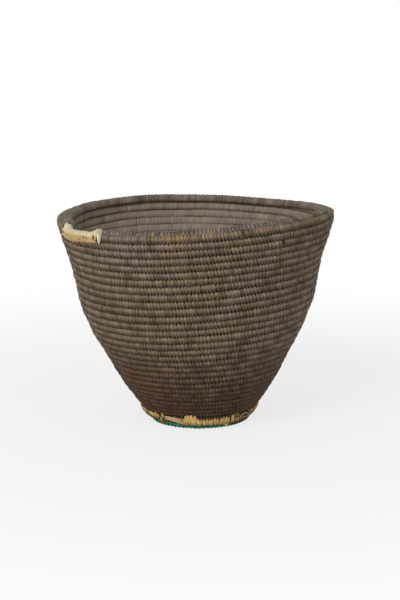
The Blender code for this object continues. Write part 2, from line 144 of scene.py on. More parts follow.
def place(azimuth, radius, height):
    """Where points of the round basket lie on this one."""
    azimuth = from_front(azimuth)
    rise = height / BASKET_HEIGHT
    lean = MIDDLE_LEAN * smooth(rise / LEAN_SHARE)
    lean = lean + (RIM_LEAN - MIDDLE_LEAN) * smooth((rise - LEAN_SHARE) / (1 - LEAN_SHARE))
    dip = RIM_SADDLE * rise * np.sin(2 * azimuth) - RIM_DIP * rise * rise * np.cos(azimuth)
    reach = radius + rise * (RIM_SKEW * np.sin(2 * azimuth) - RIM_OVAL * np.cos(2 * azimuth))
    near_rim = smooth(1 - (BASKET_HEIGHT - height) / DENT_DEPTH)
    dent = DENT * np.exp(-(((azimuth - DENT_AT) / DENT_WIDTH) ** 2)) * near_rim
    x = FOOT_SHIFT * (1 - rise) + reach * np.sin(azimuth)
    y = -reach * np.cos(azimuth)
    z = height + lean * np.sin(azimuth) + dip - dent
    return np.stack(np.broadcast_arrays(x, y, z), axis=-1)


def azimuth_before_end(turns):
    """The azimuth that lies this many turns before the end of the wall's coil."""
    return COIL_END - TURN * turns


print("front of the rim at", place(0.0, WALL_RIM_RADIUS, BASKET_HEIGHT).round(4))

# %% [markdown]
# ## The wall's courses
# The coil climbs one course in each turn. A table of lengths along the wall says where each
# course's seams lie, with finer courses near the foot. The coil starts thin at the foot and is
# drawn out thin again at the rim.

# %% The wall's outline and its courses


class Wall:
    """The wall's middle line by length, and the seams between its courses by turns of the coil."""

    def __init__(self):
        high, wide = np.array(WALL_OUTLINE_SHARES).T
        radii = WALL_FOOT_RADIUS + wide * (WALL_RIM_RADIUS - WALL_FOOT_RADIUS)
        corners = np.stack([radii, WALL_FOOT_HEIGHT + high * WALL_HEIGHT], axis=1)
        ends = [2 * corners[0] - corners[1], *corners, 2 * corners[-1] - corners[-2]]
        line = []
        for a, b, c, d in zip(ends, ends[1:], ends[2:], ends[3:]):
            for step in range(OUTLINE_STEPS):
                t = step / OUTLINE_STEPS
                bend = 2 * a - 5 * b + 4 * c - d
                twist = 3 * b - a - 3 * c + d
                line.append((2 * b + (c - a) * t + bend * t**2 + twist * t**3) / 2)
        self.line = np.array([*line, corners[-1]])
        runs = np.hypot(*np.diff(self.line, axis=0).T)
        self.lengths = np.concatenate([[0.0], np.cumsum(runs)])
        self.length = self.lengths[-1]
        self.step = self.length / PITCH_STEPS
        self.marks = np.linspace(0.0, self.length, PITCH_STEPS + 1)
        grown = smooth((self.marks[:-1] + self.step / 2) / FINE_COIL_RISE)
        turns = np.cumsum(self.step / (FOOT_PITCH + grown * (WALL_PITCH - FOOT_PITCH)))
        self.courses = max(round(turns[-1] - PART_TURN_SHARE), 2) + PART_TURN_SHARE
        self.turns = np.concatenate([[0.0], turns]) * self.courses / turns[-1]

    def at(self, length):
        """The radius and height at these lengths along the wall."""
        radius, height = (np.interp(length, self.lengths, column) for column in self.line.T)
        return radius, height

    def seam(self, turn):
        """How far up the wall the seam over an untapered coil lies after these turns."""
        return np.interp(turn, self.turns, self.marks)

    def slope(self, length):
        """How steeply the wall rises at these lengths."""
        (r0, h0), (r1, h1) = self.at(length - self.step), self.at(length + self.step)
        return np.arctan2(h1 - h0, r1 - r0)

    def course(self, turn):
        """The lengths along the wall between which the coil lies after these turns."""
        low, high = self.seam(turn - 1), self.seam(turn)
        taper = np.clip((self.courses - turn) / END_TAPER_SHARE, 0.0, 1.0)
        return low, low + taper * (high - low)


wall = Wall()
print(f"wall: {wall.length / MM:.0f} mm along its slope, {wall.courses} courses")

# %% [markdown]
# ## One mesh helper for everything that is wrapped
# A rod, a band and a loose straw are all tubes, so one helper makes them. It rolls up a flat
# grid, so Blender makes the faces and the UV map, and the helper only says where each crossing of
# the grid goes. The seam is then welded and the ends are filled, which leaves a closed shape.
# Values that a material needs at each point, such as a shade, are stored in the mesh as
# attributes.

# %% A grid rolled up into a tube
WELD = 0.001 * MM
STRAW_U = 0.999  # just under 1, so that the end of one straw isn't counted as the next one


def rolled_tube(name, points, along, marks, straw=None):
    """A closed tube whose rings are the rows of points.

    Along is the U coordinate of each ring, and marks holds values for each point. A straw's grain runs
    lengthwise, so with a straw's number the U coordinate runs round it, up from that number.
    """
    rings, sides = points.shape[:2]
    work = bmesh.new()
    work.loops.layers.uv.new("wrap")
    bmesh.ops.create_grid(work, x_segments=rings - 1, y_segments=sides, size=1.0, calc_uvs=True)
    mesh = bpy.data.meshes.new(name)
    work.to_mesh(mesh)
    work.clear()
    flat = np.empty(3 * len(mesh.vertices))
    mesh.vertices.foreach_get("co", flat)
    across = flat.reshape(-1, 3)
    share = (across - across.min(axis=0)) / np.maximum(np.ptp(across, axis=0), WELD)
    ring = np.rint(share[:, 0] * (rings - 1)).astype(int)
    side = np.rint(share[:, 1] * sides).astype(int) % sides
    mesh.vertices.foreach_set("co", points[ring, side].ravel())
    uv = np.empty(2 * len(mesh.loops))
    mesh.uv_layers["wrap"].uv.foreach_get("vector", uv)
    uv = uv.reshape(-1, 2)
    uv[:, 0] = along[np.rint(uv[:, 0] * (rings - 1)).astype(int)]
    if straw is not None:
        uv = np.stack([uv[:, 1] * STRAW_U + straw, uv[:, 0]], axis=1)
    mesh.uv_layers["wrap"].uv.foreach_set("vector", uv.ravel())
    for key, values in marks.items():
        kind, field = ("FLOAT", "value") if values.ndim == 2 else ("FLOAT_COLOR", "color")
        data = mesh.attributes.new(key, kind, "POINT").data
        data.foreach_set(field, values[ring, side].astype(float).ravel())
    work.from_mesh(mesh)
    seam = [vert for vert in work.verts if vert.is_boundary]
    bmesh.ops.remove_doubles(work, verts=seam, dist=WELD)
    bmesh.ops.holes_fill(work, edges=[edge for edge in work.edges if edge.is_boundary], sides=0)
    bmesh.ops.recalc_face_normals(work, faces=work.faces)
    work.to_mesh(mesh)
    work.free()
    mesh.shade_smooth()
    return bpy.data.objects.new(name, mesh)


print("points closer than", WELD / MM, "mm are welded where the grid meets itself")

# %% A finished piece in place of plain ones
triangles = {}


def dress(piece, finish, slot, *nodes):
    """Shows a finished piece with its material in place of the plain parts, and counts its triangles.
    """
    bpy.context.scene.collection.objects.link(piece)
    piece.data.materials.append(finish)
    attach(piece, "root")
    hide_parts(*nodes)
    piece.data.calc_loop_triangles()
    triangles[piece.name] = len(piece.data.loop_triangles)
    print(f"{piece.name}: {triangles[piece.name]} triangles")


# %% [markdown]
# ## Shader maths as Python
# A material is a net of nodes, but its sums read best as sums. One small class wraps a socket,
# and arithmetic on it adds the Math nodes. Every other node comes from one method, which takes
# the node's type, its settings and what goes into its sockets.

# %% A socket that can be added and multiplied


class Wire:
    """A value in a material, on which arithmetic adds Math nodes."""

    def __init__(self, finish, socket):
        self.finish = finish
        self.socket = socket

    def sum(self, operation, *values):
        """A Math node on these values."""
        return self.finish.node("ShaderNodeMath", {"operation": operation}, dict(enumerate(values)))

    def __add__(self, other):
        return self.sum("ADD", self, other)

    def __sub__(self, other):
        return self.sum("SUBTRACT", self, other)

    def __rsub__(self, other):
        return self.sum("SUBTRACT", other, self)

    def __mul__(self, other):
        return self.sum("MULTIPLY", self, other)

    __radd__ = __add__
    __rmul__ = __mul__

    def between(self, low, high):
        """0 at low and below, 1 at high and above, and smooth in between."""
        return self.finish.node(
            "ShaderNodeMapRange",
            {"interpolation_type": "SMOOTHSTEP"},
            {"Value": self, "From Min": low, "From Max": high},
        )


print("a wire takes + - and *")

# %% A material that adds its own nodes


class Finish:
    """A material with one Principled shader, whose other nodes are added by node()."""

    def __init__(self, name, **constants):
        self.material = bpy.data.materials.new(name)
        self.material.use_nodes = True
        self.tree = self.material.node_tree
        self.shader = self.tree.nodes["Principled BSDF"]
        for key, value in constants.items():
            self.shader.inputs[key.replace("_", " ").title()].default_value = value

    def node(self, kind, settings, inputs, output=0):
        """Adds a node, and returns one of its outputs."""
        made = self.tree.nodes.new(kind)
        for key, value in settings.items():
            setattr(made, key, value)
        for key, value in inputs.items():
            self.feed(made.inputs[key], value)
        return Wire(self, made.outputs[output])

    def feed(self, socket, value):
        """Links a wire to a socket, or sets the socket's own value."""
        if isinstance(value, Wire):
            self.tree.links.new(value.socket, socket)
        elif socket.type == "VECTOR":
            socket.default_value = value[:3]
        else:
            socket.default_value = value

    def output(self, **wires):
        """Links the sockets of the Principled shader that vary over the surface."""
        for key, value in wires.items():
            self.feed(self.shader.inputs[key.replace("_", " ").title()], value)

    def parts(self, vector):
        """The three parts of a vector."""
        first = self.node("ShaderNodeSeparateXYZ", {}, {0: vector})
        return [Wire(self, first.socket.node.outputs[i]) for i in range(3)]

    def attribute(self, name, output):
        """An attribute of the mesh: output 0 is its colour, 2 its value and 3 its alpha."""
        return self.node("ShaderNodeAttribute", {"attribute_name": name}, {}, output)

    def noise(self, vector, scale, detail=2.0, rough=0.5):
        """Cloudy noise, with this many clouds in a metre or in one unit of a pattern."""
        inputs = {"Vector": vector, "Scale": scale, "Detail": detail, "Roughness": rough}
        return self.node("ShaderNodeTexNoise", {}, inputs)

    def mix(self, share, first, second, blend="MIX"):
        """A colour between two colours, which the Mix node takes at its sockets 6 and 7."""
        settings = {"data_type": "RGBA", "blend_type": blend}
        return self.node("ShaderNodeMix", settings, {0: share, 6: first, 7: second}, output=2)

    def tint(self, colour, amount):
        """A colour times a number."""
        return self.node("ShaderNodeVectorMath", {"operation": "SCALE"}, {0: colour, "Scale": amount})

    def bump(self, height, distance, strength):
        """A normal that is tilted by a height."""
        inputs = {"Height": height, "Distance": distance, "Strength": strength}
        return self.node("ShaderNodeBump", {}, inputs)


def linear(red, green, blue):
    """A colour as a screen shows it, 0 to 255, in the linear values that shaders use."""
    return (*((((c / 255 + 0.055) / 1.055) ** 2.4) for c in (red, green, blue)), 1.0)


print("a mid brown is", [round(c, 3) for c in linear(92, 80, 67)])

# %% [markdown]
# ## The wrapping fibre
# Each stitch is a narrow ribbon of split leaf that has dried, so it has its own tone, and fine
# ridges run along it, round the rod. The U coordinate counts stitches, so the whole number of it
# picks the stitch's tone, and V runs round the rod. Noise that is squeezed in U and stretched in
# V looks like the ridges. A strip of leaf lasts for some twenty stitches, so slower noise along
# the coil changes the tone strip by strip. The hollows between stitches, the lower sides and the
# seams are darkened by painted shade, with some dirt, which the mesh stores as the attribute
# called light. A few stitches were dyed, which is the attribute dye. Dry fibre hardly shines, and
# a low specular level keeps the seams dark.

# %% The ridges, strips and specks of a fibre
DRY_GLOSS = 0.25
RIDGES_PER_STITCH = 8.0
RIDGE_STRETCH = 2.2
RIDGE_HEIGHT = 0.35 * MM
STITCH_APART = 7.3  # how far apart two stitches lie in the noise, so that each has ridges of its own
STRIPS_PER_STITCH = 0.045
CLOUDS_PER_METRE = 26.0
SPECKS_PER_METRE = 420.0
RIDGE_TONE = 0.9
CLOUD_TONE = 0.4
SPECK_TONE = 0.4
STRIP_TONE = 0.6
STRIP_TINTS = ((1.01, 1.0, 0.93, 1.0), (0.99, 0.98, 1.03, 1.0))
INSIDE_V = (0.62, 0.70, 0.93, 1.0)  # where on V the basket's inner side fades in and out
INSIDE_AMOUNT = 0.85
PATCH_CORE = 0.35
SHADE_AND_DIRT_ROUGHER = 0.12
print("the fibres have", CLOUDS_PER_METRE, "clouds and", SPECKS_PER_METRE, "specks to the metre")

# %% One recipe for the wrapped fibres


def fibre(
    name, pale, deep, shade_and_dirt, spread=0.55, ridge=0.4, roughness=0.72, low=None, patches=(), inside=None
):
    """A wrapped fibre between a pale and a deep tone, darkened in its hollows by painted shade and
    soiling.

    Low gives two heights and other tones below them, patches are stained places, by their centre,
    radius, colour and strength, and inside is the tone of the basket's inner side.
    """
    made = Finish(name, roughness=roughness)
    made.shader.inputs["Specular IOR Level"].default_value = DRY_GLOSS
    uv = made.node("ShaderNodeUVMap", {"uv_map": "wrap"}, {})
    along, around = made.parts(uv)[:2]
    stitch = along.sum("FLOOR", along)
    tone = made.node("ShaderNodeTexWhiteNoise", {"noise_dimensions": "1D"}, {"W": stitch})
    lengthwise = {0: along * RIDGES_PER_STITCH, 1: around * RIDGE_STRETCH, 2: stitch * STITCH_APART}
    ridges = made.noise(made.node("ShaderNodeCombineXYZ", {}, lengthwise), 1.0, detail=3.0, rough=0.6)
    where = made.node("ShaderNodeTexCoord", {}, {}, output=3)
    cloud = made.noise(where, CLOUDS_PER_METRE, detail=4.0)
    speck = made.noise(where, SPECKS_PER_METRE)
    by_strip = {"W": along * STRIPS_PER_STITCH, "Detail": 1.0}
    leaf = made.node("ShaderNodeTexNoise", {"noise_dimensions": "1D"}, by_strip)
    light = made.attribute("light", 2)
    dye, dyed = made.attribute("dye", 0), made.attribute("dye", 3)
    # Other tones below two heights: on the wall they are darker, partly from dirt and partly as painted
    # shade
    if low:
        risen = made.parts(where)[2].between(*low[0])
        pale, deep = made.mix(risen, low[1], pale), made.mix(risen, low[2], deep)
    share = (tone - 0.5) * spread + (ridges - 0.5) * RIDGE_TONE + (cloud - 0.5) * CLOUD_TONE
    share = share + (speck - 0.5) * SPECK_TONE + 0.5 + (leaf - 0.5) * STRIP_TONE
    colour = made.mix(share.between(0.0, 1.0), deep, pale)
    hue = made.mix(leaf.between(0.4, 0.6), *STRIP_TINTS)
    colour = made.mix(1.0, colour, hue, "MULTIPLY")
    # The inner side turns to the paler inside tone, partly faded fibre and partly painted light
    if inside:
        within = around.between(*INSIDE_V[:2]) * (1.0 - around.between(*INSIDE_V[2:]))
        colour = made.mix(within * INSIDE_AMOUNT, colour, made.tint(inside, share * 0.8 + 0.62))
    for centre, size, patch_colour, amount in patches:
        both = {0: where, 1: centre}
        away = made.node("ShaderNodeVectorMath", {"operation": "DISTANCE"}, both, output=1)
        near = (1.0 - away.between(size * PATCH_CORE, size)) * (cloud.between(0.3, 0.7) * amount)
        stained = made.tint(patch_colour, share * 0.7 + 0.65)
        colour = made.mix(near * tone.between(0.0, 0.7), colour, stained)
    colour = made.mix(dyed, colour, made.tint(dye, ridges * 0.7 + tone * 0.3 + 0.5))
    # Where the attribute light is low the colour turns to the dark one: painted shade, with some dirt,
    # in the hollows, on the lower sides and in the seams
    colour = made.mix(light, shade_and_dirt, colour)
    made.output(
        base_color=colour,
        roughness=(ridges - 0.5) * 0.3 + roughness + (1.0 - light) * SHADE_AND_DIRT_ROUGHER,
        normal=made.bump(ridges, RIDGE_HEIGHT, ridge),
    )
    return made.material


# %% [markdown]
# The fibre of the wall is darker and browner near the foot, partly from dirt and partly as painted
# shade, and worn grey towards the rim, with a few stained places at the front left. It is paler
# inside, partly faded and partly as painted light from above. The rim's is rubbed smooth. The
# straw was never dyed, and the green of the base has faded.

# %% The fibres of the rods
WALL_PATCHES = (
    ((-0.062, -0.070, 0.078), 0.050, linear(112, 74, 48), 0.9),
    ((-0.045, -0.066, 0.045), 0.035, linear(98, 68, 48), 0.8),
    ((-0.022, -0.165, 0.266), 0.034, linear(160, 132, 84), 0.9),
    ((-0.095, -0.09, 0.155), 0.07, linear(128, 112, 82), 0.5),
    ((-0.08, -0.14, 0.252), 0.05, linear(146, 140, 138), 0.8),
)
# Below 15 cm, and fully below 2 cm, the tones are darker and browner, partly from dirt and partly as
# painted shade
WALL_LOW = ((0.02, 0.15), linear(108, 81, 57), linear(46, 31, 18))
wall_fibre = fibre(
    "wall fibre",
    linear(168, 149, 128),
    linear(82, 66, 50),
    linear(34, 19, 6),
    spread=0.2,
    low=WALL_LOW,
    patches=WALL_PATCHES,
    # The inner side is paler, partly faded and partly as painted light from above
    inside=linear(155, 142, 127),
)
rim_tones = linear(158, 145, 132), linear(88, 76, 65), linear(34, 22, 13)
rim_fibre = fibre("rim fibre", *rim_tones, spread=0.3, ridge=0.3)
straw_tones = linear(206, 180, 126), linear(146, 117, 70), linear(74, 52, 26)
straw_fibre = fibre("straw", *straw_tones, roughness=0.55)
green_tones = linear(116, 220, 172), linear(42, 164, 128), linear(22, 60, 44)
green_fibre = fibre("green fibre", *green_tones, roughness=0.6)
print("fibres:", [m.name for m in (wall_fibre, rim_fibre, straw_fibre, green_fibre)])

# %% [markdown]
# ## The stitches
# A stitch is a low ridge across the rod. Its upper part is full and rounded and its lower part is
# pinched where it goes down between two stitches of the course below, which leaves small dark
# triangles in the seams. The stitches also slant, because the sewer always works in one
# direction. No two are equally wide, so the widths are random, from a seed that makes them the
# same each time.

# %% Where the stitches lie on a rod
STITCH_SHARES = np.array([0.0, 0.24, 0.5, 0.76])
SAMPLES_PER_TURN = 240


def stitch_edges(start, end, section, width, rng, vary=0.22, share=1.0):
    """The turns at which one stitch ends and the next begins, from the turn start to the turn end.

    Width is a length, or a function of the turns. Share is how much of a real turn one turn of the
    section covers.
    """
    fine = np.linspace(start, end, int((end - start) * SAMPLES_PER_TURN) + 2)
    middles = (fine[1:] + fine[:-1]) / 2
    run = np.concatenate([[0.0], np.cumsum(np.diff(fine) * TURN * (section(middles)[1] * share))])
    widths = width(middles) if callable(width) else width
    worn = np.concatenate([[0.0], np.cumsum(np.diff(run) / widths)])
    count = round(worn[-1])
    edges = np.concatenate([[0.0], np.cumsum(1 + vary * rng.uniform(-1, 1, count))])
    return np.interp(edges / edges[-1] * worn[-1], worn, fine)


def wavy(count, rng, span, size):
    """A smooth random line with a new value each span steps."""
    knots = rng.normal(0.0, size, count // span + 4)
    at = np.arange(count) / span
    whole = at.astype(int)
    return knots[whole] + smooth(at - whole) * (knots[whole + 1] - knots[whole])


print("rings for each stitch:", len(STITCH_SHARES))

# %% [markdown]
# The wrapping itself is a tube with four rings for each stitch. A ring lies in the upright plane
# through the basket's axis, and its points are pushed along the rod by the slant, out by the
# ridge and in at the hollows. The same rule makes the wall, the rim, the straw course and the
# green base, with different sizes. The same sines and cosines give each point its painted shade,
# with some dirt: darkest where two stitches meet, on the lower side and in the seams.

# %% The round section and its shading
RING_ANGLES = np.radians([*range(-100, 101, 20), 127, 154, 180, 206, 233])
SIDES = len(RING_ANGLES)
FULL_OUTSIDE = 0.86
FULL_INSIDE = 0.45
PIT_DARK = 0.24
PIT_DARK_BELOW = 0.42
PIT_DARK_ABOVE = 0.3
LOWER_SIDE_DARK = 0.6
SEAM_DARK = 0.5
INSIDE_SEAM_DARK = 0.32
INSIDE_PIT_DARK = 0.22


def fuller(value, power):
    """A sine or cosine drawn towards 1 with its sign kept, which makes a round section squarer."""
    return np.sign(value) * np.abs(value) ** power


def shade(sin, outside, pit, lobe, worn):
    """How light each point is, 0 to 1, under painted shade and soiling. The sine is 1 on top of the
    rod, -1 below.
    """
    # Painted shade, with some dirt: darker between stitches, on the lower side and in the seams, and on
    # the inner side in its seams and pits
    under, over = smooth((-sin - 0.5) / 0.5), smooth((sin - 0.8) / 0.2)
    dark = (PIT_DARK + PIT_DARK_BELOW * smooth(0.6 - 1.2 * sin) + PIT_DARK_ABOVE * over) * pit
    dark = dark + LOWER_SIDE_DARK * smooth((0.78 - sin) / 0.86) * (1 - 0.4 * pit)
    dark = dark + SEAM_DARK * under * (1 - 0.3 * lobe) + SEAM_DARK * over * (1 - 0.7 * lobe)
    inside_dark = worn * (INSIDE_SEAM_DARK * np.abs(sin) ** 4 + INSIDE_PIT_DARK * pit)
    return np.clip(1 - outside * dark - (1 - outside) * inside_dark, 0.0, 1.0)


print("points round a rod:", SIDES)

# %% A rod in its wrapping
LEAN_WAVE = (22, 0.07)  # a wave is the steps between new values, and their size
LEAN_JITTER = 0.04
SWAY_OUT = (40, 0.25)
SWAY_UP = (34, 0.2)
# The wave of how strongly the painted shade and dirt on the inner side show
INSIDE_SHADE_WAVE = (26, 0.4)
PIT_JITTER = 0.3
PIT_LIMITS = (0.5, 1.7)
TOP_NOTCH = 0.9
THIN_ROD = 4 * MM


def wrapping(
    edges, section, rng, slant=0.16, groove=0.78, notch=1.1, rise=1.3, uneven=0.18, inner=None
):
    """Points, stitch numbers and lights for a wrapped rod, with groove to uneven in millimetres.

    The inner side is as thick as the outer one, or as many times that as the function inner gives for
    the turns.
    """
    count = len(edges) - 1
    share = np.tile(STITCH_SHARES, count)
    stitch = np.repeat(np.arange(count), len(STITCH_SHARES))
    turn = np.append(edges[stitch] + share * (edges[stitch + 1] - edges[stitch]), edges[-1])
    along = np.append(stitch + share, float(count))
    share, stitch = np.append(share, 0.0), np.append(stitch, count - 1)
    azimuth, radius, height, slope, out, up = section(turn)
    leans = slant + wavy(count + 1, rng, *LEAN_WAVE) + rng.normal(0.0, LEAN_JITTER, count + 1)
    lean = np.interp(along, np.arange(count + 1), leans)[:, None]
    plump = (rng.normal(0.0, uneven, count)[stitch] * np.sin(np.pi * share))[:, None]
    pits = np.clip(rng.normal(1.0, PIT_JITTER, count + 1), *PIT_LIMITS)
    sway_out = wavy(len(turn), rng, *SWAY_OUT)[:, None] * MM
    sway_up = wavy(len(turn), rng, *SWAY_UP)[:, None] * MM
    # worn is how strongly the painted shade and dirt on the inner side show, and it varies slowly along
    # the rod
    worn = 1 + wavy(len(turn), rng, *INSIDE_SHADE_WAVE)[:, None]
    cos, sin = np.cos(RING_ANGLES)[None, :], np.sin(RING_ANGLES)[None, :]
    outside = smooth((cos + 0.25) / 0.75)
    top, bottom = np.clip(sin, 0, 1), np.clip(-sin, 0, 1)
    lobe = np.sin(np.pi * share)[:, None] ** (0.7 + 1.0 * bottom)
    pit = (1 - lobe) * pits[stitch + (share > 0.5)][:, None]
    notches = notch * smooth(bottom / 0.85) + TOP_NOTCH * smooth(2 * top - 1)
    deep = groove * (0.25 + 0.75 * outside) + outside * notches
    push = rise * top**2 * outside * lobe - deep * pit + plump
    size = np.minimum(out / THIN_ROD, 1.0)[:, None] * MM
    squared = fuller(cos, np.where(cos < 0, FULL_INSIDE, FULL_OUTSIDE))
    across = (out[:, None] + push * size) * squared + sway_out
    if inner:
        across = np.where(cos < 0, across * inner(turn)[:, None], across)
    upward = (up[:, None] + push * size) * fuller(sin, FULL_OUTSIDE) + sway_up
    level, steep = np.cos(slope)[:, None], np.sin(slope)[:, None]
    ring_radius = radius[:, None] + across * steep + upward * level
    ring_height = height[:, None] - across * level + upward * steep
    shift = -lean * sin * up[:, None] / radius[:, None]
    points = place(azimuth[:, None] + shift, ring_radius, ring_height)
    points[..., 2] = np.maximum(points[..., 2], 0.0)
    return points, along, shade(sin, outside, pit, lobe, worn), azimuth, stitch


print("stitches are shallower where a rod's radius is under", THIN_ROD / MM, "mm")

# %% [markdown]
# ## Dyed and worn stitches
# Here and there a stitch is yellow, red or lilac: dyed fibre from another piece of work, or the
# pale inner side of a strip. Each spot is given by its azimuth in degrees, how far along the
# wall's slope it lies in millimetres, how many stitches it covers, its colour and how strong that
# is. Whatever is not listed stays undyed.

# %% The dyes
DYES = {
    "yellow": linear(158, 132, 76),
    "gold": linear(172, 140, 78),
    "orange": linear(138, 100, 64),
    "red": linear(124, 80, 70),
    "lilac": linear(98, 82, 98),
    "cream": linear(150, 138, 112),
    "pale green": linear(118, 120, 100),
    "olive": linear(112, 100, 62),
    "dark": linear(16, 11, 8),
    "brown": linear(66, 48, 32),
    "worn": linear(104, 92, 80),
}
print("dyes:", ", ".join(DYES))

# %% The dyed stitches of the wall
WALL_SPOTS = (
    (-36.0, 256, 1, "cream", 0.5),
    (-31.0, 255, 1, "lilac", 0.5),
    (-27.0, 255, 1, "cream", 0.5),
    (-24.0, 254, 1, "lilac", 0.6),
    (-21.5, 254, 1, "lilac", 0.5),
    (-17.0, 254, 1, "yellow", 0.7),
    (-14.5, 254, 1, "cream", 0.5),
    (-12.5, 254, 1, "yellow", 0.6),
    (-9.0, 254, 1, "olive", 0.6),
    (-6.0, 254, 1, "yellow", 0.5),
    (-3.0, 254, 1, "orange", 0.5),
    (0.0, 254, 2, "olive", 0.5),
    (4.0, 256, 1, "gold", 0.6),
    (-10.8, 240, 2, "orange", 0.45),
    (-2.8, 239, 1, "red", 0.5),
    (15.0, 235, 1, "yellow", 0.5),
    (13.5, 225, 1, "yellow", 0.4),
    (11.2, 213, 1, "orange", 0.5),
    (12.0, 222, 2, "cream", 0.3),
    (35.8, 237, 1, "gold", 0.6),
    (38.4, 236, 1, "dark", 0.9),
    (37.8, 230, 1, "red", 0.5),
    (40.8, 222, 3, "olive", 0.4),
    (42.0, 214, 2, "olive", 0.3),
    (54.8, 226, 1, "yellow", 0.5),
    (58.0, 101, 1, "yellow", 0.5),
    (53.0, 94, 1, "orange", 0.4),
    (73.0, 106, 1, "yellow", 0.4),
    (-65.0, 246, 2, "olive", 0.6),
    (-62.0, 245, 1, "yellow", 0.7),
    (-60.0, 245, 1, "cream", 0.6),
    (-57.5, 245, 2, "olive", 0.6),
    (-54.5, 245, 1, "cream", 0.5),
    (-52.0, 245, 2, "olive", 0.5),
    (-49.0, 245, 1, "cream", 0.5),
    (25.0, 258, 1, "yellow", 0.35),
    (28.0, 258, 1, "gold", 0.3),
    (20.0, 258, 1, "dark", 0.7),
)
print("dyed spots on the wall:", len(WALL_SPOTS))

# %% From spots to stitches
# A dyed stitch shows most on its upper side, because the lower one goes down into the seam
DYED_SIDES = smooth(0.4 + 1.1 * np.sin(RING_ANGLES + 0.2))


def dyed(spots, azimuth, length, stitch):
    """The dye of each point of a wrapping: a colour, and in its fourth value how strong it is."""
    middle = np.arange(stitch.max() + 1) * len(STITCH_SHARES) + len(STITCH_SHARES) // 2
    colour = np.zeros((len(middle), 4))
    for degrees, far, count, dye, amount in spots:
        turned = from_front(azimuth[middle] - math.radians(degrees))
        miss = np.hypot(turned * WALL_RIM_RADIUS, length[middle] - far * MM)
        if miss.min() < WALL_PITCH:
            first = int(miss.argmin()) - (count - 1) // 2
            colour[max(first, 0) : max(first + count, 0)] = (*DYES[dye][:3], amount)
    colour = np.repeat(colour[stitch][:, None, :], SIDES, axis=1)
    colour[..., 3] *= DYED_SIDES
    return colour


# %% [markdown]
# ## The wall
# The wall is the long coil, cut into five stretches, because a mesh of a million faces is hard on
# every tool. The lower two stretches replace the lower rod of the plain model, and the upper
# three the upper one. Its courses overlap a little, so that no slit stays open between them, and
# the last ones are thicker inside, where the rim rod grips them.

# %% The wrapped coil of the wall
WALL_STITCH = 4.2 * MM
NARROWEST_STITCH = 0.65
WALL_OVERLAP = 0.7 * MM
MENDED = np.radians((-72.0, -43.4))
MEND_EASE = 0.03
PRESSED = 1.1 * MM
THICKER_INSIDE = 1.4
THICKER_COURSES = 3.6
THICKER_EASE = 3.0
THICKER_FROM = math.radians(74)
THICKER_FROM_EASE = math.radians(15)


def wall_section(turn):
    """The middle, slope and half sizes of the coil's section, which the mend presses flat a little."""
    low, high = wall.course(turn)
    middle = (low + high) / 2
    radius, height = wall.at(middle)
    before_end = wall.courses - turn
    mend_left, mend_right = (COIL_END - MENDED) / TURN
    under = np.minimum(mend_left - before_end, before_end - mend_right)
    half = (high - low) / 2 - PRESSED * smooth(under * TURN / MEND_EASE)
    azimuth = azimuth_before_end(before_end)
    return azimuth, radius, height, wall.slope(middle), half, half + WALL_OVERLAP


def wall_stitch_width(turn):
    """Stitches are a little narrower on the finer courses near the foot."""
    fineness = np.clip((wall.seam(turn) - wall.seam(turn - 1)) / WALL_PITCH, 0.5, 1.0)
    return WALL_STITCH * (NARROWEST_STITCH + (1 - NARROWEST_STITCH) * fineness)


def wall_inside(turn):
    """How much thicker the last courses are inside, where the rim rod is, but not under the mend."""
    aside = np.abs(from_front(azimuth_before_end(wall.courses - turn)))
    near = smooth((turn - wall.courses + THICKER_COURSES) / THICKER_EASE)
    return 1 + THICKER_INSIDE * (near * smooth((aside - THICKER_FROM) / THICKER_FROM_EASE))


rng = np.random.default_rng(31)
COIL_START = float(np.interp(THIN_END_SHARE * (wall.seam(2) - wall.seam(1)), wall.marks, wall.turns))
SPLICE = COIL_START + SPLICE_SHARE * (wall.courses - COIL_START)
coil_stop = wall.courses - THIN_END_SHARE * END_TAPER_SHARE
wall_edges = stitch_edges(COIL_START, coil_stop, wall_section, wall_stitch_width, rng)
print("stitches on the wall:", len(wall_edges) - 1)

# %% The five stretches of the wall
LOWER_CUT = 0.62
UPPER_CUTS = (5.2, 10.2)
LOWER_STRETCHES = 2

lower_cut = COIL_START + LOWER_CUT * (SPLICE - COIL_START)
cuts = [COIL_START, lower_cut, SPLICE, *(SPLICE + cut for cut in UPPER_CUTS), wall.courses]
cut_at = [int(np.searchsorted(wall_edges, cut)) for cut in cuts]
cut_at[-1] = len(wall_edges) - 1
for number, (first, last) in enumerate(zip(cut_at, cut_at[1:]), start=1):
    edges = wall_edges[first : last + 1]
    points, along, light, azimuth, stitch = wrapping(edges, wall_section, rng, inner=wall_inside)
    ring_turn = np.interp(along, np.arange(len(edges)), edges)
    length = sum(wall.course(ring_turn)) / 2
    marks = {"light": light, "dye": dyed(WALL_SPOTS, azimuth, length, stitch)}
    piece = rolled_tube(f"wall_wrapping_{number}", points, along + first, marks)
    if number <= LOWER_STRETCHES:
        dress(piece, wall_fibre, "dark_fibre", "wall_coil_lower")
    else:
        dress(piece, wall_fibre, "worn_fibre", "wall_coil_upper")

# %% [markdown]
# ## The rim
# One more rod is sewn to the inner shoulder of the last course. It is gripped and rubbed more
# than any other part, so its stitches are broader and smoother. Towards the front its wrapping is
# fuller than the plain rod, so that it covers more of the last course, as on the real basket.

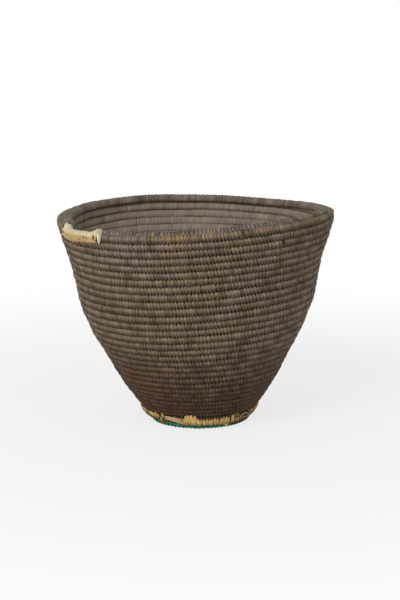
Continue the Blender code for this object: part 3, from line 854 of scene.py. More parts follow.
# %% The place of the rim rod
BINDING_FROM = math.radians(-71.7)
BINDING_TO = math.radians(-49.5)
KNOT_WIDTH = 13 * MM
MEND_GAP = 2 * PIECE_GAP / WALL_RIM_RADIUS
ROD_FROM = BINDING_TO + MEND_GAP
ROD_TO = BINDING_FROM - 2 * MEND_GAP - KNOT_WIDTH / WALL_RIM_RADIUS + TURN
rim_pitch = wall.length - wall.seam(wall.courses - 1)
course_radius = (rim_pitch - SEAM_GAP) / 2
rod_radius = RIM_ROD_THICKNESS / 2
towards_rod = np.array((-math.cos(RIM_ROD_LIE), math.sin(RIM_ROD_LIE)))
to_rod = towards_rod * (course_radius + rod_radius + PIECE_GAP)


def last_course(azimuth):
    """The radius and height of the middle of the last course at these azimuths."""
    before_end = (COIL_END - azimuth) / TURN % 1.0
    top = wall.course(wall.courses - before_end)[1]
    return wall.at(top - rim_pitch / 2)


print(f"the last course is {rim_pitch / MM:.2f} mm from seam to seam")

# %% The wrapped rim
RIM_STITCH = 4.6 * MM
RIM_FULLER = 1.1 * MM
FULLER_UP_TO = math.radians(115)
FULLER_EASE = math.radians(50)
RIM_ROD_TILT = math.radians(80)
# The rim rod is a single row of stitches, so one row stands for all its spots
RIM_SPOT_ROW = 252
# By azimuth in degrees, how many stitches are dyed, the dye and how strong it is
RIM_SPOTS = (
    (-41.0, 1, "cream", 0.5),
    (-38.0, 2, "pale green", 0.5),
    (-35.2, 1, "cream", 0.7),
    (-32.6, 2, "pale green", 0.5),
    (-30.0, 1, "cream", 0.6),
    (-27.0, 2, "pale green", 0.6),
    (-24.0, 1, "cream", 0.5),
    (-21.0, 1, "lilac", 0.5),
    (-18.5, 1, "cream", 0.5),
    (-16.5, 1, "lilac", 0.5),
    (5.5, 1, "gold", 0.5),
    (8.0, 1, "yellow", 0.6),
    (-172.0, 1, "red", 0.4),
    (160.0, 1, "yellow", 0.6),
)


def rim_section(turn):
    """The section of the rim rod, which runs from the mend round to the mend."""
    azimuth = ROD_FROM + turn * (ROD_TO - ROD_FROM)
    radius, height = last_course(azimuth)
    front = smooth((FULLER_UP_TO - np.abs(from_front(azimuth))) / FULLER_EASE)
    full = rod_radius + RIM_FULLER * front
    tilt = np.full_like(azimuth, RIM_ROD_TILT)
    return azimuth, radius + to_rod[0], height + to_rod[1], tilt, full, full


rng = np.random.default_rng(7)
rim_share = (ROD_TO - ROD_FROM) / TURN
rim_edges = stitch_edges(0.0, 1.0, rim_section, RIM_STITCH, rng, share=rim_share)
points, along, light, azimuth, stitch = wrapping(
    rim_edges, rim_section, rng, slant=0.2, groove=1.5, notch=1.2, rise=1.3
)
length = np.full_like(azimuth, RIM_SPOT_ROW * MM)
rim_spots = [(degrees, RIM_SPOT_ROW, *rest) for degrees, *rest in RIM_SPOTS]
marks = {"light": light, "dye": dyed(rim_spots, azimuth, length, stitch)}
dress(rolled_tube("rim_wrapping", points, along, marks), rim_fibre, "rim_fibre", "rim_coil")

# %% [markdown]
# ## Strips and straws
# The mend and the loose straws are small flat or round pieces. A strip is given by its middle
# line and its width, which lies along the basket, and a round straw by its middle line alone.
# Eight points are enough for a ring. Many small straws go into one mesh, because a tool that
# opens the model should not meet a hundred tiny objects.

# %% Strips and straws
STRAW_SIDES = 8
STRIP_SQUARE = 0.7
ROUND = np.arange(STRAW_SIDES) / STRAW_SIDES * TURN


def spread_out(values, count):
    """The values as a line of this many evenly spaced ones."""
    return np.interp(np.linspace(0, 1, count), np.linspace(0, 1, len(values)), values)


def strip(azimuth, radius, height, width, thick):
    """Rings of a flat strip along a line up or down the round basket."""
    out = np.stack([np.gradient(height), -np.gradient(radius)], axis=-1)
    out /= np.linalg.norm(out, axis=-1, keepdims=True)
    aside = fuller(np.cos(ROUND), STRIP_SQUARE) * width[:, None] / 2
    off = fuller(np.sin(ROUND), STRIP_SQUARE) * thick[:, None] / 2
    ring_radius = radius[:, None] + off * out[:, :1]
    ring_height = height[:, None] + off * out[:, 1:]
    return place(azimuth[:, None] + aside / ring_radius, ring_radius, ring_height)


def strand(line, radius):
    """Rings of a round straw along a line of real points."""
    ahead = np.gradient(line, axis=0)
    ahead /= np.linalg.norm(ahead, axis=1, keepdims=True)
    side = np.cross(ahead, line * (1, 1, 0) + (MM, 0, 0))
    side /= np.linalg.norm(side, axis=1, keepdims=True)
    out = np.cross(side, ahead)
    cos, sin = np.cos(ROUND)[None, :, None], np.sin(ROUND)[None, :, None]
    return line[:, None] + (cos * side[:, None] + sin * out[:, None]) * radius[:, None, None]


def straws(name, shapes):
    """One object of many small straws, each given as its rings, its light by ring and its dye."""
    work = bmesh.new()
    for number, (rings, light, dye) in enumerate(shapes):
        marks = {
            "light": np.repeat(light[:, None], rings.shape[1], axis=1),
            "dye": np.broadcast_to(np.array(dye), (*rings.shape[:2], 4)),
        }
        straw = rolled_tube(name, rings, np.linspace(0.0, 1.0, len(rings)), marks, number)
        mesh = straw.data
        work.from_mesh(mesh)
        bpy.data.objects.remove(straw)
        bpy.data.meshes.remove(mesh)
    mesh = bpy.data.meshes.new(name)
    work.to_mesh(mesh)
    work.free()
    mesh.shade_smooth()
    return bpy.data.objects.new(name, mesh)


def stain(dye, amount):
    """A dye, or a colour of its own, with how strong it is."""
    return (*DYES.get(dye, dye)[:3], amount)


PLAIN = (0.0, 0.0, 0.0, 0.0)
print("points round a strip or straw:", STRAW_SIDES)

# %% [markdown]
# ## The mend of the rim
# At the front left the rim rod has broken away, and somebody has bound the last course with a
# pale, ribbed strip. Its upper half is bleached and its lower half is still golden. A crumpled
# end makes a knob at the left, and a narrow strap, folded over the end of the rod, runs down to a
# point at the right. The strip hangs straight down from the widest line of the course, over the
# course below, so its section is a straight drop and then an arc.

# %% How the strip hangs and where it is worn
COURSE_FOLD = 0.2 * MM
STRIP_LIFT = 0.4 * MM
HOLE_DEPTH = 1.2 * MM
HEM_THINNER = 0.35
DROP_WAVE = (5, 0.25)
# The golden lower half starts this many millimetres above the course's widest line, and wanders
GOLD_FROM = 3.2
GOLD_EASE = 2.0
GOLD_WAVE = (4, 0.35)
GOLD = linear(198, 164, 102)
GOLD_AMOUNT = 0.85
HEM_FROM = 0.86
FRAYED = (0.35, 0.5)
# Painted shade in the grooves between the ribs on the strip's lower part, and on its underside
RIB_DARK = 0.45
UNDERSIDE_LIGHT = 0.5
DROP_POINTS = 8
OVER_POINTS = 21
OVER_TURN = math.radians(212)
TUCKED = math.radians(-70.4)
TUCKED_EASE = 0.015
# How far the strip hangs down, by azimuth in degrees and millimetres
DROPS = (
    (-72, 0.6),
    (-70, 2.2),
    (-68, 6.2),
    (-67, 8.0),
    (-66, 8.0),
    (-62, 7.0),
    (-56.5, 6.2),
    (-51, 4.9),
    (-45, 3.9),
)
# Worn holes, by azimuth in degrees, and by how low they lie and how big they are in millimetres
HOLES = (
    (-69.2, -0.5, 3.2),
    (-62.9, 4.0, 2.0),
    (-56.1, 3.4, 2.0),
    (-52.3, -1.1, 2.0),
    (-50.3, -0.6, 2.0),
    (-52.3, 4.2, 1.5),
    (-46.0, -2.1, 3.0),
    (-44.8, 1.4, 2.4),
)
print("the strip has", DROP_POINTS + OVER_POINTS, "points from its hem to its inner edge")

# %% A strip folded over the last course
middle = np.array(wall.at(wall.length - rim_pitch / 2))
down = np.array(wall.at(wall.length - rim_pitch * 1.5)) - middle
down /= np.linalg.norm(down)
outward = math.atan2(down[0], -down[1])
print(f"under the rim the wall's outside faces {math.degrees(-outward):.0f} degrees below level")


def folded_strip(name, azimuth, along, thick, ripple, seed):
    """A strip folded over the last course, with its thickness, its ribs, its dye and its holes."""
    rng = np.random.default_rng(seed)
    count = len(azimuth)
    drop = np.interp(np.degrees(azimuth), *zip(*DROPS)) * MM + wavy(count, rng, *DROP_WAVE) * MM
    hanging = np.linspace(1.0, 1 / DROP_POINTS, DROP_POINTS)
    hang = np.concatenate([hanging, np.zeros(OVER_POINTS)])[None, :]
    over = np.concatenate([np.zeros(DROP_POINTS), np.linspace(0.0, 1.0, OVER_POINTS)])[None, :]
    turn = outward + over * (OVER_TURN - outward)
    fallen = drop[:, None] * hang
    lowness = fallen - (turn - outward) * course_radius
    hole = np.zeros_like(fallen)
    for degrees, low, size in HOLES:
        aside = (azimuth[:, None] - math.radians(degrees)) * WALL_RIM_RADIUS
        miss = np.hypot(aside, lowness - low * MM)
        hole = np.maximum(hole, smooth(1.5 * (1 - miss / (size * MM))))
    radius, height = last_course(azimuth)
    outer = thick * (1 - HEM_THINNER * hang**4) - hole * HOLE_DEPTH
    sheets = []
    for depth in (outer, np.full_like(fallen, -COURSE_FOLD)):
        reach = course_radius + STRIP_LIFT + depth
        r = radius[:, None] + reach * np.cos(turn) + fallen * down[0]
        h = height[:, None] + reach * np.sin(turn) + fallen * down[1]
        sheets.append(place(azimuth[:, None], r, h))
    points = np.concatenate([sheets[0], sheets[1][:, ::-1]], axis=1)
    wander = wavy(count, rng, *GOLD_WAVE)[:, None]
    frayed = np.clip(rng.normal(*FRAYED, count), 0, 1)[:, None]
    dye = np.zeros((*fallen.shape, 4))
    dye[...] = GOLD
    dye[..., 3] = smooth((lowness + (GOLD_FROM + wander) * MM) / (GOLD_EASE * MM)) * GOLD_AMOUNT
    hem = smooth((hang - HEM_FROM) / (1 - HEM_FROM)) * frayed
    tucked = smooth((TUCKED - azimuth) / TUCKED_EASE)[:, None] * np.ones_like(fallen)
    for amount, colour in ((hem, "orange"), (tucked, "worn"), (hole, "brown")):
        dye[..., :3] += amount[..., None] * (np.array(DYES[colour][:3]) - dye[..., :3])
        dye[..., 3] = np.maximum(dye[..., 3], amount)
    # Painted shade between the ribs on the strip's lower part, and half the light on its underside
    lower = smooth(lowness / (4 * MM) + 1)
    light = 1 - RIB_DARK * (1 - ripple)[:, None] * lower
    marks = {
        "light": np.concatenate([light, light[:, ::-1] * UNDERSIDE_LIGHT], axis=1),
        "dye": np.concatenate([dye, dye[:, ::-1]], axis=1),
    }
    return rolled_tube(name, points, along, marks)


# %% The pale binding
RIB = 1.6 * MM
RINGS_PER_RIB = 6
BINDING_START = math.radians(-69.2)
BINDING_END = math.radians(-44.8)
# Towards its right end the strip swells over the rod's broken end, in millimetres and degrees
SHOULDER = 3.4
SHOULDER_FROM = -50.5
SHOULDER_EASE = 4.5
BINDING_FIRST = 40  # the first stitch number, which picks the tones of the ribs
BINDING_SEED = 3

binding_tones = linear(230, 220, 186), linear(200, 182, 140), linear(96, 66, 38)
binding_fibre = fibre("pale binding", *binding_tones, roughness=0.5, spread=0.5, ridge=0.5)
ribs = round((BINDING_END - BINDING_START) * WALL_RIM_RADIUS / RIB)
along = np.arange(ribs * RINGS_PER_RIB + 1) / RINGS_PER_RIB
azimuth = BINDING_START + (BINDING_END - BINDING_START) * along / ribs
ripple = np.abs(np.sin(np.pi * along)) ** 0.6
ends = smooth(np.minimum(along, ribs - along) / 1.2)
over_rod = smooth(np.linspace(-0.1, 2.4, OVER_POINTS))
over_rod = np.concatenate([np.zeros(DROP_POINTS), over_rod])
shoulder = SHOULDER * smooth((np.degrees(azimuth) - SHOULDER_FROM) / SHOULDER_EASE)
thick = ((0.5 + 0.6 * ends + 0.4 * ripple)[:, None] + shoulder[:, None] * over_rod) * MM
binding = folded_strip("pale_binding", azimuth, along + BINDING_FIRST, thick, ripple, BINDING_SEED)
dress(binding, binding_fibre, "pale_binding", "rim_repair_binding")
print(f"the binding has {ribs} ribs, each {RIB / MM} mm wide")

# %% [markdown]
# The knob is the binding's own end, crumpled and tucked in, so it is the same strip again with a
# swelling and a peak.

# %% The knob
KNOB = np.radians((-74.0, -66.8))
KNOB_RINGS = 49
KNOB_EDGE = -71.1
KNOB_STRIPS = 7
KNOB_FIRST = 80
KNOB_SEED = 5
FOLDS = 17
CRUMPLE = 0.35
CRUMPLE_RATES = (23, 0.9)
# The peak's height in millimetres, and its place and width in degrees
PEAK = 3.6
PEAK_AT = -69.9
PEAK_WIDTH = 1.2
# How much of the peak there is, along the strip's way over the course
PEAK_OVER = ((0, 0.0), (0.28, 0.12), (0.42, 0.8), (0.5, 1.15), (0.62, 0.6), (1, 0.1))

lay = np.linspace(0.0, 1.0, KNOB_RINGS)
azimuth = KNOB[0] + (KNOB[1] - KNOB[0]) * lay
swell = smooth((np.degrees(azimuth) - KNOB_EDGE) / 0.7) * smooth((1 - lay) / 0.12)
folds = np.abs(np.sin(lay * FOLDS)) ** 0.5
peak = PEAK * np.exp(-(((np.degrees(azimuth) - PEAK_AT) / PEAK_WIDTH) ** 2))
over_top = np.interp(np.linspace(0, 1, OVER_POINTS), *zip(*PEAK_OVER))
over_top = np.concatenate([np.zeros(DROP_POINTS), over_top])
points_over = np.arange(DROP_POINTS + OVER_POINTS)
crumple = 1 + CRUMPLE * np.sin(lay[:, None] * CRUMPLE_RATES[0] + points_over * CRUMPLE_RATES[1])
lumps = (0.15 + 0.65 * swell + 0.35 * folds * swell)[:, None]
thick = (lumps + (peak * swell)[:, None] * over_top) * crumple * MM
knob = folded_strip("mend_knob", azimuth, lay * KNOB_STRIPS + KNOB_FIRST, thick, folds, KNOB_SEED)
dress(knob, binding_fibre, "cream_strap", "rim_repair_knot")

# %% [markdown]
# The strap is a flat strip over the rod and the course. It lies square to the rod's broken end,
# so it keeps its distance from the basket's middle plane, and its width shrinks to a point. A
# greyer layer and a crease lie on it.

# %% The strap
STRAP_AT = -0.8
STRAP_ASIDE = 113.1 * MM
STRAP_DROP = 4.4 * MM
STRAP_THICKNESS = 1.3 * MM
STRAP_LIFT = 0.6 * MM
STRAP_RINGS = 34
STRAP_STARTS = math.radians(225)
# Shares of the strap's way: it lies on the rod up to the first one and on the course up to the
# second one, and then it hangs
STRAP_OVER = 0.5
STRAP_HANGS = 0.75
# Widths in millimetres along the strap, of which the first half lies on the rod
STRAP_WIDTH = (
    (0, 6),
    (0.3, 10),
    (0.44, 11.6),
    (0.5, 10.4),
    (0.53, 8.8),
    (0.65, 6.8),
    (0.78, 5.0),
    (0.9, 3.2),
    (1, 1.0),
)
LAYER_WIDTH = ((0.4, 3.5), (0.46, 6.0), (0.53, 5.0), (0.66, 3.4), (0.82, 1.0))
CREASE_WIDTH = ((0.36, 0.9), (0.6, 1.5), (0.95, 0.7))


def strap_layer(start, end, width, lift, shift):
    """Rings of one layer of the strap, from its inner end over the rod and down to its tip."""
    lay = np.linspace(start, end, STRAP_RINGS)
    radius, height = last_course(np.full_like(lay, STRAP_AT))
    on_rod = (lay < STRAP_OVER).astype(float)
    top = math.pi / 2 - RIM_ROD_LIE
    rod_turn = STRAP_STARTS + (top - STRAP_STARTS) * np.clip(lay / STRAP_OVER, 0, 1)
    over_course = np.clip((lay - STRAP_OVER) / (STRAP_HANGS - STRAP_OVER), 0, 1)
    turn = np.where(lay < STRAP_OVER, rod_turn, top + (outward - top) * over_course)
    fallen = np.clip((lay - STRAP_HANGS) / (1 - STRAP_HANGS), 0, 1) * STRAP_DROP
    reach = STRAP_LIFT + lift + on_rod * rod_radius + (1 - on_rod) * course_radius
    radius = radius + on_rod * to_rod[0] + reach * np.cos(turn) + fallen * down[0]
    height = height + on_rod * to_rod[1] + reach * np.sin(turn) + fallen * down[1]
    aside = STRAP_ASIDE - np.interp(lay, (start, end), shift) * MM
    wide = np.interp(lay, *zip(*width)) * MM
    thick = np.full_like(wide, STRAP_THICKNESS)
    return strip(-np.arcsin(aside / radius), radius, height, wide, thick)


# Each layer by its start and end, its widths, how far it lies off the strap and, in millimetres,
# how far to the right of the strap's middle it starts and ends
full = np.ones(STRAP_RINGS)
whole = strap_layer(0.0, 1.0, STRAP_WIDTH, 0.0, (0.0, 0.0))
layer = strap_layer(0.4, 0.82, LAYER_WIDTH, 0.9 * MM, (1.6, 0.9))
crease = strap_layer(0.36, 0.97, CREASE_WIDTH, 1.1 * MM, (-1.6, 0.0))
strap_shapes = [
    (whole, full, PLAIN),
    (layer, full, stain(linear(198, 184, 164), 0.85)),
    (crease, full, stain(linear(250, 244, 224), 0.8)),
]
dress(straws("mend_strap", strap_shapes), binding_fibre, "cream_strap", "rim_repair_tie")

# %% [markdown]
# Two pale twigs stick out of the knob, and thin yellow and olive ends hang out below the
# binding's hem. Each is a round straw between two points, given by azimuth in degrees and, in
# millimetres, its drop below the course's widest line, its distance from the course and its
# radius.

# %% The twigs of the mend
TWIG_RINGS = 9
TWIGS = (
    ((-69.6, -73.4), (2.6, 4.6), (1.2, 2.6), (0.8, 0.5), PLAIN),
    ((-68.8, -67.4), (2.0, 6.4), (1.9, 2.2), (0.6, 0.4), PLAIN),
    ((-64.0, -63.6), (7.0, 9.4), (1.2, 0.9), (0.5, 0.5), stain("olive", 0.8)),
    ((-62.0, -61.6), (6.8, 9.6), (1.2, 0.9), (0.5, 0.5), stain("yellow", 0.7)),
    ((-60.4, -60.2), (6.6, 8.6), (1.2, 0.9), (0.4, 0.4), stain("yellow", 0.7)),
    ((-58.6, -59.0), (6.6, 9.2), (1.2, 0.9), (0.5, 0.5), stain("yellow", 0.5)),
    ((-55.0, -55.2), (5.8, 8.2), (1.2, 0.9), (0.4, 0.4), stain("olive", 0.8)),
    ((-51.0, -50.8), (4.8, 7.2), (1.2, 0.9), (0.4, 0.4), stain("olive", 0.6)),
)


def course_line(degrees, fallen, off):
    """A line of real points outside the last course, by azimuth, drop and distance from it."""
    azimuth = np.radians(spread_out(degrees, TWIG_RINGS))
    fallen = spread_out(fallen, TWIG_RINGS) * MM
    reach = course_radius + spread_out(off, TWIG_RINGS) * MM
    radius, height = last_course(azimuth)
    radius = radius + reach * math.cos(outward) + fallen * down[0]
    height = height + reach * math.sin(outward) + fallen * down[1]
    return place(azimuth, radius, height)


twig_shapes = []
for *line, radii, colour in TWIGS:
    rings = strand(course_line(*line), spread_out(radii, TWIG_RINGS) * MM)
    twig_shapes.append((rings, np.ones(TWIG_RINGS), colour))
dress(straws("mend_twigs", twig_shapes), binding_fibre, "pale_binding", "rim_repair_knot")

# %% [markdown]
# ## The foot
# The basket starts with a flat spiral of green fibre, then one thick course of bare straw, and
# only then the dark courses. The straw course is sewn with broad, uneven straws, most of them
# brown on top. On the front their lower sides are pale.

# %% The straw course
STRAW_STITCH = 4.4 * MM
STRAW_OVERLAP = 1.2 * MM
STRAW_TURNS = 1.003
# Azimuths in degrees between or beyond which fewer stitches are brown, and the chances of brown ones
BARE_LEFT = (-90, -66)
BARE_BACK = 120
BARE_COVERED = 0.3
ELSEWHERE_COVERED = 0.93
PALE_FRONT = (-64, 42)
PALE_AMOUNT = 0.85
# The straw course keeps only this share of its light: extra painted shade all over, as in the shade of
# the teeth and the wall above
STRAW_LIGHT = 0.8


def straw_section(turn):
    """The section of the straw course, tall enough to close its seams above and below."""
    half = STRAW_THICKNESS / 2
    sizes = STRAW_RADIUS, STRAW_CENTRE_HEIGHT, math.pi / 2, half, half + STRAW_OVERLAP
    return azimuth_before_end(1 - turn), *(np.full_like(turn, size) for size in sizes)


rng = np.random.default_rng(19)
straw_edges = stitch_edges(0.0, STRAW_TURNS, straw_section, STRAW_STITCH, rng, vary=0.35)
points, along, light, azimuth, stitch = wrapping(
    straw_edges, straw_section, rng, slant=0.1, groove=1.0, notch=0.5, rise=0.5, uneven=0.3
)
straw_dye = np.zeros((*light.shape, 4))
turned = np.degrees(from_front(azimuth))
bare = ((turned > BARE_LEFT[0]) & (turned < BARE_LEFT[1])) | (np.abs(turned) > BARE_BACK)
chance = np.where(bare, BARE_COVERED, ELSEWHERE_COVERED)
straw_dye[rng.random(stitch.max() + 1)[stitch] < chance] = stain("brown", 0.95)
front = (turned > PALE_FRONT[0]) & (turned < PALE_FRONT[1])
low_side = smooth(0.5 - 1.6 * np.sin(RING_ANGLES)) * front[:, None]
straw_dye[..., 3] *= 1 - PALE_AMOUNT * low_side
# Extra painted shade on the whole straw course
marks = {"light": light * STRAW_LIGHT, "dye": straw_dye}
straw_course = rolled_tube("straw_wrapping", points, along, marks)
dress(straw_course, straw_fibre, "straw", "straw_foot_coil")

# %% [markdown]
# The green spiral is closed: its turns overlap a little, its first turn fills the eye and, round
# the back, its last turn reaches under the straw course. At the front left it bulges out. A few
# of its stitches are sewn with the same straws as the course above, and it is soiled at the
# right.

# %% The green base
GREEN_STITCH = 4.6 * MM
BASE_OVERLAP = 0.8 * MM
BASE_EYE = 1.2 * MM
FIRST_TURN_EASE = 0.03
LAST_TURN = 1.02
LAST_TURN_EASE = 0.025
REACH_FROM = math.radians(75)
REACH_EASE = math.radians(30)
GREEN_BULGE = 3.4 * MM
GREEN_BULGE_AT = math.radians(-52)
GREEN_BULGE_SPREAD = math.radians(60)
LENGTHS_PER_TURN = 15
PALE_CHANCES = (("gold", 0.14), ("brown", 0.12), ("olive", 0.1))
SOILED = np.radians((40, 120))
SOILED_CHANCE = 0.85
UNDER_TEETH = math.radians(24)
base_growth = (BASE_EDGE_RADIUS - BASE_CENTRE_RADIUS) / (BASE_COIL_THICKNESS + SEAM_GAP)
base_turns = round(base_growth * LENGTHS_PER_TURN) / LENGTHS_PER_TURN


def base_section(turn):
    """The flat spiral, whose first turn closes the eye and whose last one meets the straw course."""
    azimuth = azimuth_before_end(base_turns - turn)
    half = BASE_COIL_THICKNESS / 2
    middle = BASE_CENTRE_RADIUS + turn / base_turns * (BASE_EDGE_RADIUS - BASE_CENTRE_RADIUS)
    first = smooth((1 - turn) / FIRST_TURN_EASE)
    last = smooth((turn - base_turns + LAST_TURN) / LAST_TURN_EASE)
    inner = middle - half - BASE_OVERLAP
    inner = inner + first * (BASE_EYE - inner)
    outer = middle + half
    at_back = smooth((np.abs(from_front(azimuth)) - REACH_FROM) / REACH_EASE)
    reach = at_back * np.maximum(BASE_EDGE_RADIUS + half - outer, 0.0)
    bulge = smooth(1 - np.abs(azimuth - GREEN_BULGE_AT) / GREEN_BULGE_SPREAD) * GREEN_BULGE
    outer = outer + (1 - last) * BASE_OVERLAP + last * (reach + bulge)
    height, slope, up = (np.full_like(turn, size) for size in (BASE_CENTRE_HEIGHT, math.pi / 2, half))
    return azimuth, (outer + inner) / 2, height, slope, (outer - inner) / 2, up


base_edges = stitch_edges(0.0, base_turns, base_section, GREEN_STITCH, rng)
points, along, light, azimuth, stitch = wrapping(base_edges, base_section, rng)
base_dye = np.zeros((*light.shape, 4))
for dye, chance in PALE_CHANCES:
    base_dye[rng.random(stitch.max() + 1)[stitch] < chance] = stain(dye, 0.7)
soiled = (azimuth > SOILED[0]) & (azimuth < SOILED[1])
base_dye[soiled & (rng.random(stitch.max() + 1)[stitch] < SOILED_CHANCE)] = stain("brown", 1.0)
under_teeth = np.abs(azimuth) < UNDER_TEETH
base_dye[under_teeth] = stain("yellow", 0.55)
base_dye[under_teeth, :, 3] *= smooth(1.2 * np.sin(RING_ANGLES) + 0.5)
base = rolled_tube("base_wrapping", points, along, {"light": light, "dye": base_dye})
dress(base, green_fibre, "green_fibre", "base_coil")
print(f"the green spiral has {base_turns:.2f} turns")

# %% [markdown]
# On the front the straw stitches stand apart like teeth. Each goes from the green edge, over the
# straw course and up to a round or pointed end on the first dark course. They lie close like a
# fan in the middle and stand in small groups to the right. A tooth is given by its azimuth in
# degrees, its width in millimetres and from where to where it goes, as shares of the line over
# the straw course.

# %% Where the straw teeth stand
TEETH = (
    (-84, 1.0, 0.35, 0.75),
    (-79, 1.2, 0.3, 0.8),
    (-73, 1.2, 0.35, 0.78),
    (-67, 1.2, 0.35, 0.75),
    (-60.0, 2.4, 0.36, 0.74),
    (-57.0, 3.0, 0.34, 0.7),
    (-53.8, 3.4, 0.32, 0.73),
    (-50.6, 3.2, 0.3, 0.7),
    (-47.4, 3.2, 0.3, 0.82),
    (-44.6, 2.6, 0.3, 0.66),
    (-41.2, 1.6, 0.12, 0.5),
    (-38.0, 2.8, 0.4, 0.84),
    (-15.0, 3.6, 0.06, 0.6),
    (-12.6, 4.8, 0.0, 0.84),
    (-9.4, 5.0, 0.0, 0.9),
    (-6.6, 4.8, 0.0, 0.92),
    (-3.9, 4.8, 0.02, 0.86),
    (-1.2, 3.8, 0.0, 0.55),
    (1.4, 3.4, 0.04, 0.5),
    (4.4, 3.8, 0.0, 0.5),
    (7.6, 4.0, 0.0, 0.56),
    (10.2, 3.2, 0.05, 0.46),
    (12.6, 3.8, 0.0, 0.53),
    (15.7, 3.8, 0.0, 0.6),
    (18.4, 3.4, 0.04, 0.54),
    (22.1, 3.6, 0.0, 0.55),
    (24.8, 3.5, 0.0, 0.62),
    (27.3, 3.4, 0.0, 0.64),
    (29.9, 3.3, 0.05, 0.58),
    (34.4, 3.4, 0.14, 0.72),
    (36.0, 2.0, 0.1, 0.5),
    (39.6, 1.2, 0.15, 0.42),
    (42.2, 1.0, 0.1, 0.4),
    (60.5, 2.2, 0.42, 0.84),
    (66, 1.0, 0.4, 0.7),
    (71, 1.0, 0.4, 0.8),
    (76, 1.2, 0.4, 0.85),
    (82, 1.2, 0.4, 0.85),
    (88, 1.2, 0.4, 0.8),
)
BACK_TEETH = 46
BACK_FROM_TO = (96, 264)
print("teeth:", len(TEETH), "on the front and", BACK_TEETH, "round the back")

# %% The straw teeth
TOOTH_RINGS = 11
# The line over the straw course, by the angle round its rod in degrees and the distance from its middle
TOOTH_LINE = (
    (-85, 6.9),
    (-55, 6.7),
    (-25, 6.6),
    (0, 6.5),
    (16, 7.3),
    (27, 9.4),
    (36, 11.4),
    (43, 13.2),
)
LOWEST = 0.4 * MM
TOOTH_LEAN = (-0.4, 1.6)  # the mean and the spread, in degrees
TOOTH_HINGE = 0.4


def tooth(degrees, width, low, high, rng):
    """A straw stitch from the green edge up over the straw course, as a shape for straws()."""
    lay = np.linspace(low, high, TOOTH_RINGS)
    at = np.linspace(0, 1, len(TOOTH_LINE))
    turn, reach = (np.interp(lay, at, column) for column in zip(*TOOTH_LINE))
    turn = np.radians(turn)
    azimuth = math.radians(degrees) + (lay - TOOTH_HINGE) * math.radians(rng.normal(*TOOTH_LEAN))
    radius = STRAW_RADIUS + reach * np.cos(turn) * MM
    height = STRAW_CENTRE_HEIGHT + reach * np.sin(turn) * MM
    share = np.linspace(0.0, 1.0, TOOTH_RINGS)
    rounded = np.sin(np.pi * (0.1 + 0.86 * share)) ** 0.4
    wide = width * MM * (0.55 + 0.45 * smooth(1.6 * share)) * rounded
    thick = (0.8 + 1.5 * np.sin(np.pi * (0.1 + 0.8 * share))) * MM
    rings = strip(azimuth, radius, np.maximum(height, LOWEST), wide, thick)
    # The light falls from 1 at a tooth's upper end to 0.5 at its lower end: painted shade
    return rings, 0.5 + 0.5 * smooth(share * 1.7), stain("gold", float(rng.uniform(0.0, 0.35)))


rng = np.random.default_rng(23)
back_teeth = []
for degrees in np.sort(rng.uniform(*BACK_FROM_TO, BACK_TEETH)):
    width, low, high = rng.uniform(1.6, 2.8), rng.uniform(0.0, 0.2), rng.uniform(0.62, 0.95)
    back_teeth.append((degrees, width, low, high))
teeth = straws("straw_teeth", [tooth(*spot, rng) for spot in (*TEETH, *back_teeth)])
tooth_tones = linear(234, 206, 138), linear(184, 144, 80), linear(84, 56, 28)
tooth_fibre = fibre("tooth straw", *tooth_tones, roughness=0.5)
dress(teeth, tooth_fibre, "straw", *(f"foot_stitch_{i:02d}" for i in range(1, 11)))

# %% [markdown]
# The other loose ends are round straws. At the front left a strand of four straws lies bare along
# the foot, and at the right a thin loop stands off it with a wisp inside.

# %% The loose strand and the loop
STRAND_RINGS = 17
LOOP_RINGS = 25
STRAND_LIGHT = 0.95
STRAW_SIDE = (STRAW_RADIUS + STRAW_THICKNESS / 2) / MM
ROSY = stain(linear(212, 170, 132), 0.7)
HONEY = stain(linear(206, 170, 114), 0.8)
TAN = stain(linear(172, 134, 88), 0.8)
# Azimuths in degrees, and distances from the straw course, heights and a size in millimetres
STRANDS = (
    ((-38, -29, -16.5), (0.9, 0.9, 0.9), (15.4, 15.2, 14.0), 0.8, PLAIN),
    ((-36, -27, -15.5), (1.0, 1.0, 1.0), (13.9, 13.8, 12.2), 0.8, ROSY),
    ((-36, -26, -14), (0.9, 0.9, -0.6), (13.0, 12.0, 9.0), 1.0, HONEY),
    ((-31, -24, -15), (0.5, 0.0, -1.2), (11.8, 10.6, 7.6), 0.9, TAN),
)
# Azimuths in degrees, and radii and heights in millimetres
LOOP = (
    (44.5, 45.4, 48, 52, 56, 59),
    (70.6, 71.9, 73.3, 73.3, 72.5, 70.9),
    (10.4, 14.0, 16.8, 16.2, 13.4, 9.8),
)
LOOP_SIZE = 0.6 * MM
WISP = ((46, 50, 55), (72.2, 72.6, 72.4), (11.4, 12.2, 11.4))
WISP_SIZE = 0.5


def foot_line(degrees, radius, height, count=STRAND_RINGS):
    """A line of real points near the foot, by azimuth, radius and height in degrees and millimetres."""
    azimuth, radius, height = (spread_out(values, count) for values in (degrees, radius, height))
    return place(np.radians(azimuth), radius * MM, height * MM)


def tapered(size, count=STRAND_RINGS):
    """Radii of a straw that is thinner at its ends."""
    at = np.linspace(0, 1, count)
    return size * MM * (0.45 + 0.55 * np.sin(np.pi * at) ** 0.5)


strand_tones = linear(222, 202, 160), linear(188, 158, 112), linear(110, 76, 50)
strand_fibre = fibre("pale strand", *strand_tones, roughness=0.5)
even = np.full(STRAND_RINGS, STRAND_LIGHT)
strand_shapes = []
for degrees, off, height, size, colour in STRANDS:
    line = foot_line(degrees, STRAW_SIDE + np.array(off), height)
    strand_shapes.append((strand(line, tapered(size)), even, colour))
dress(straws("loose_strand", strand_shapes), strand_fibre, "pale_binding", "foot_loose_strand")

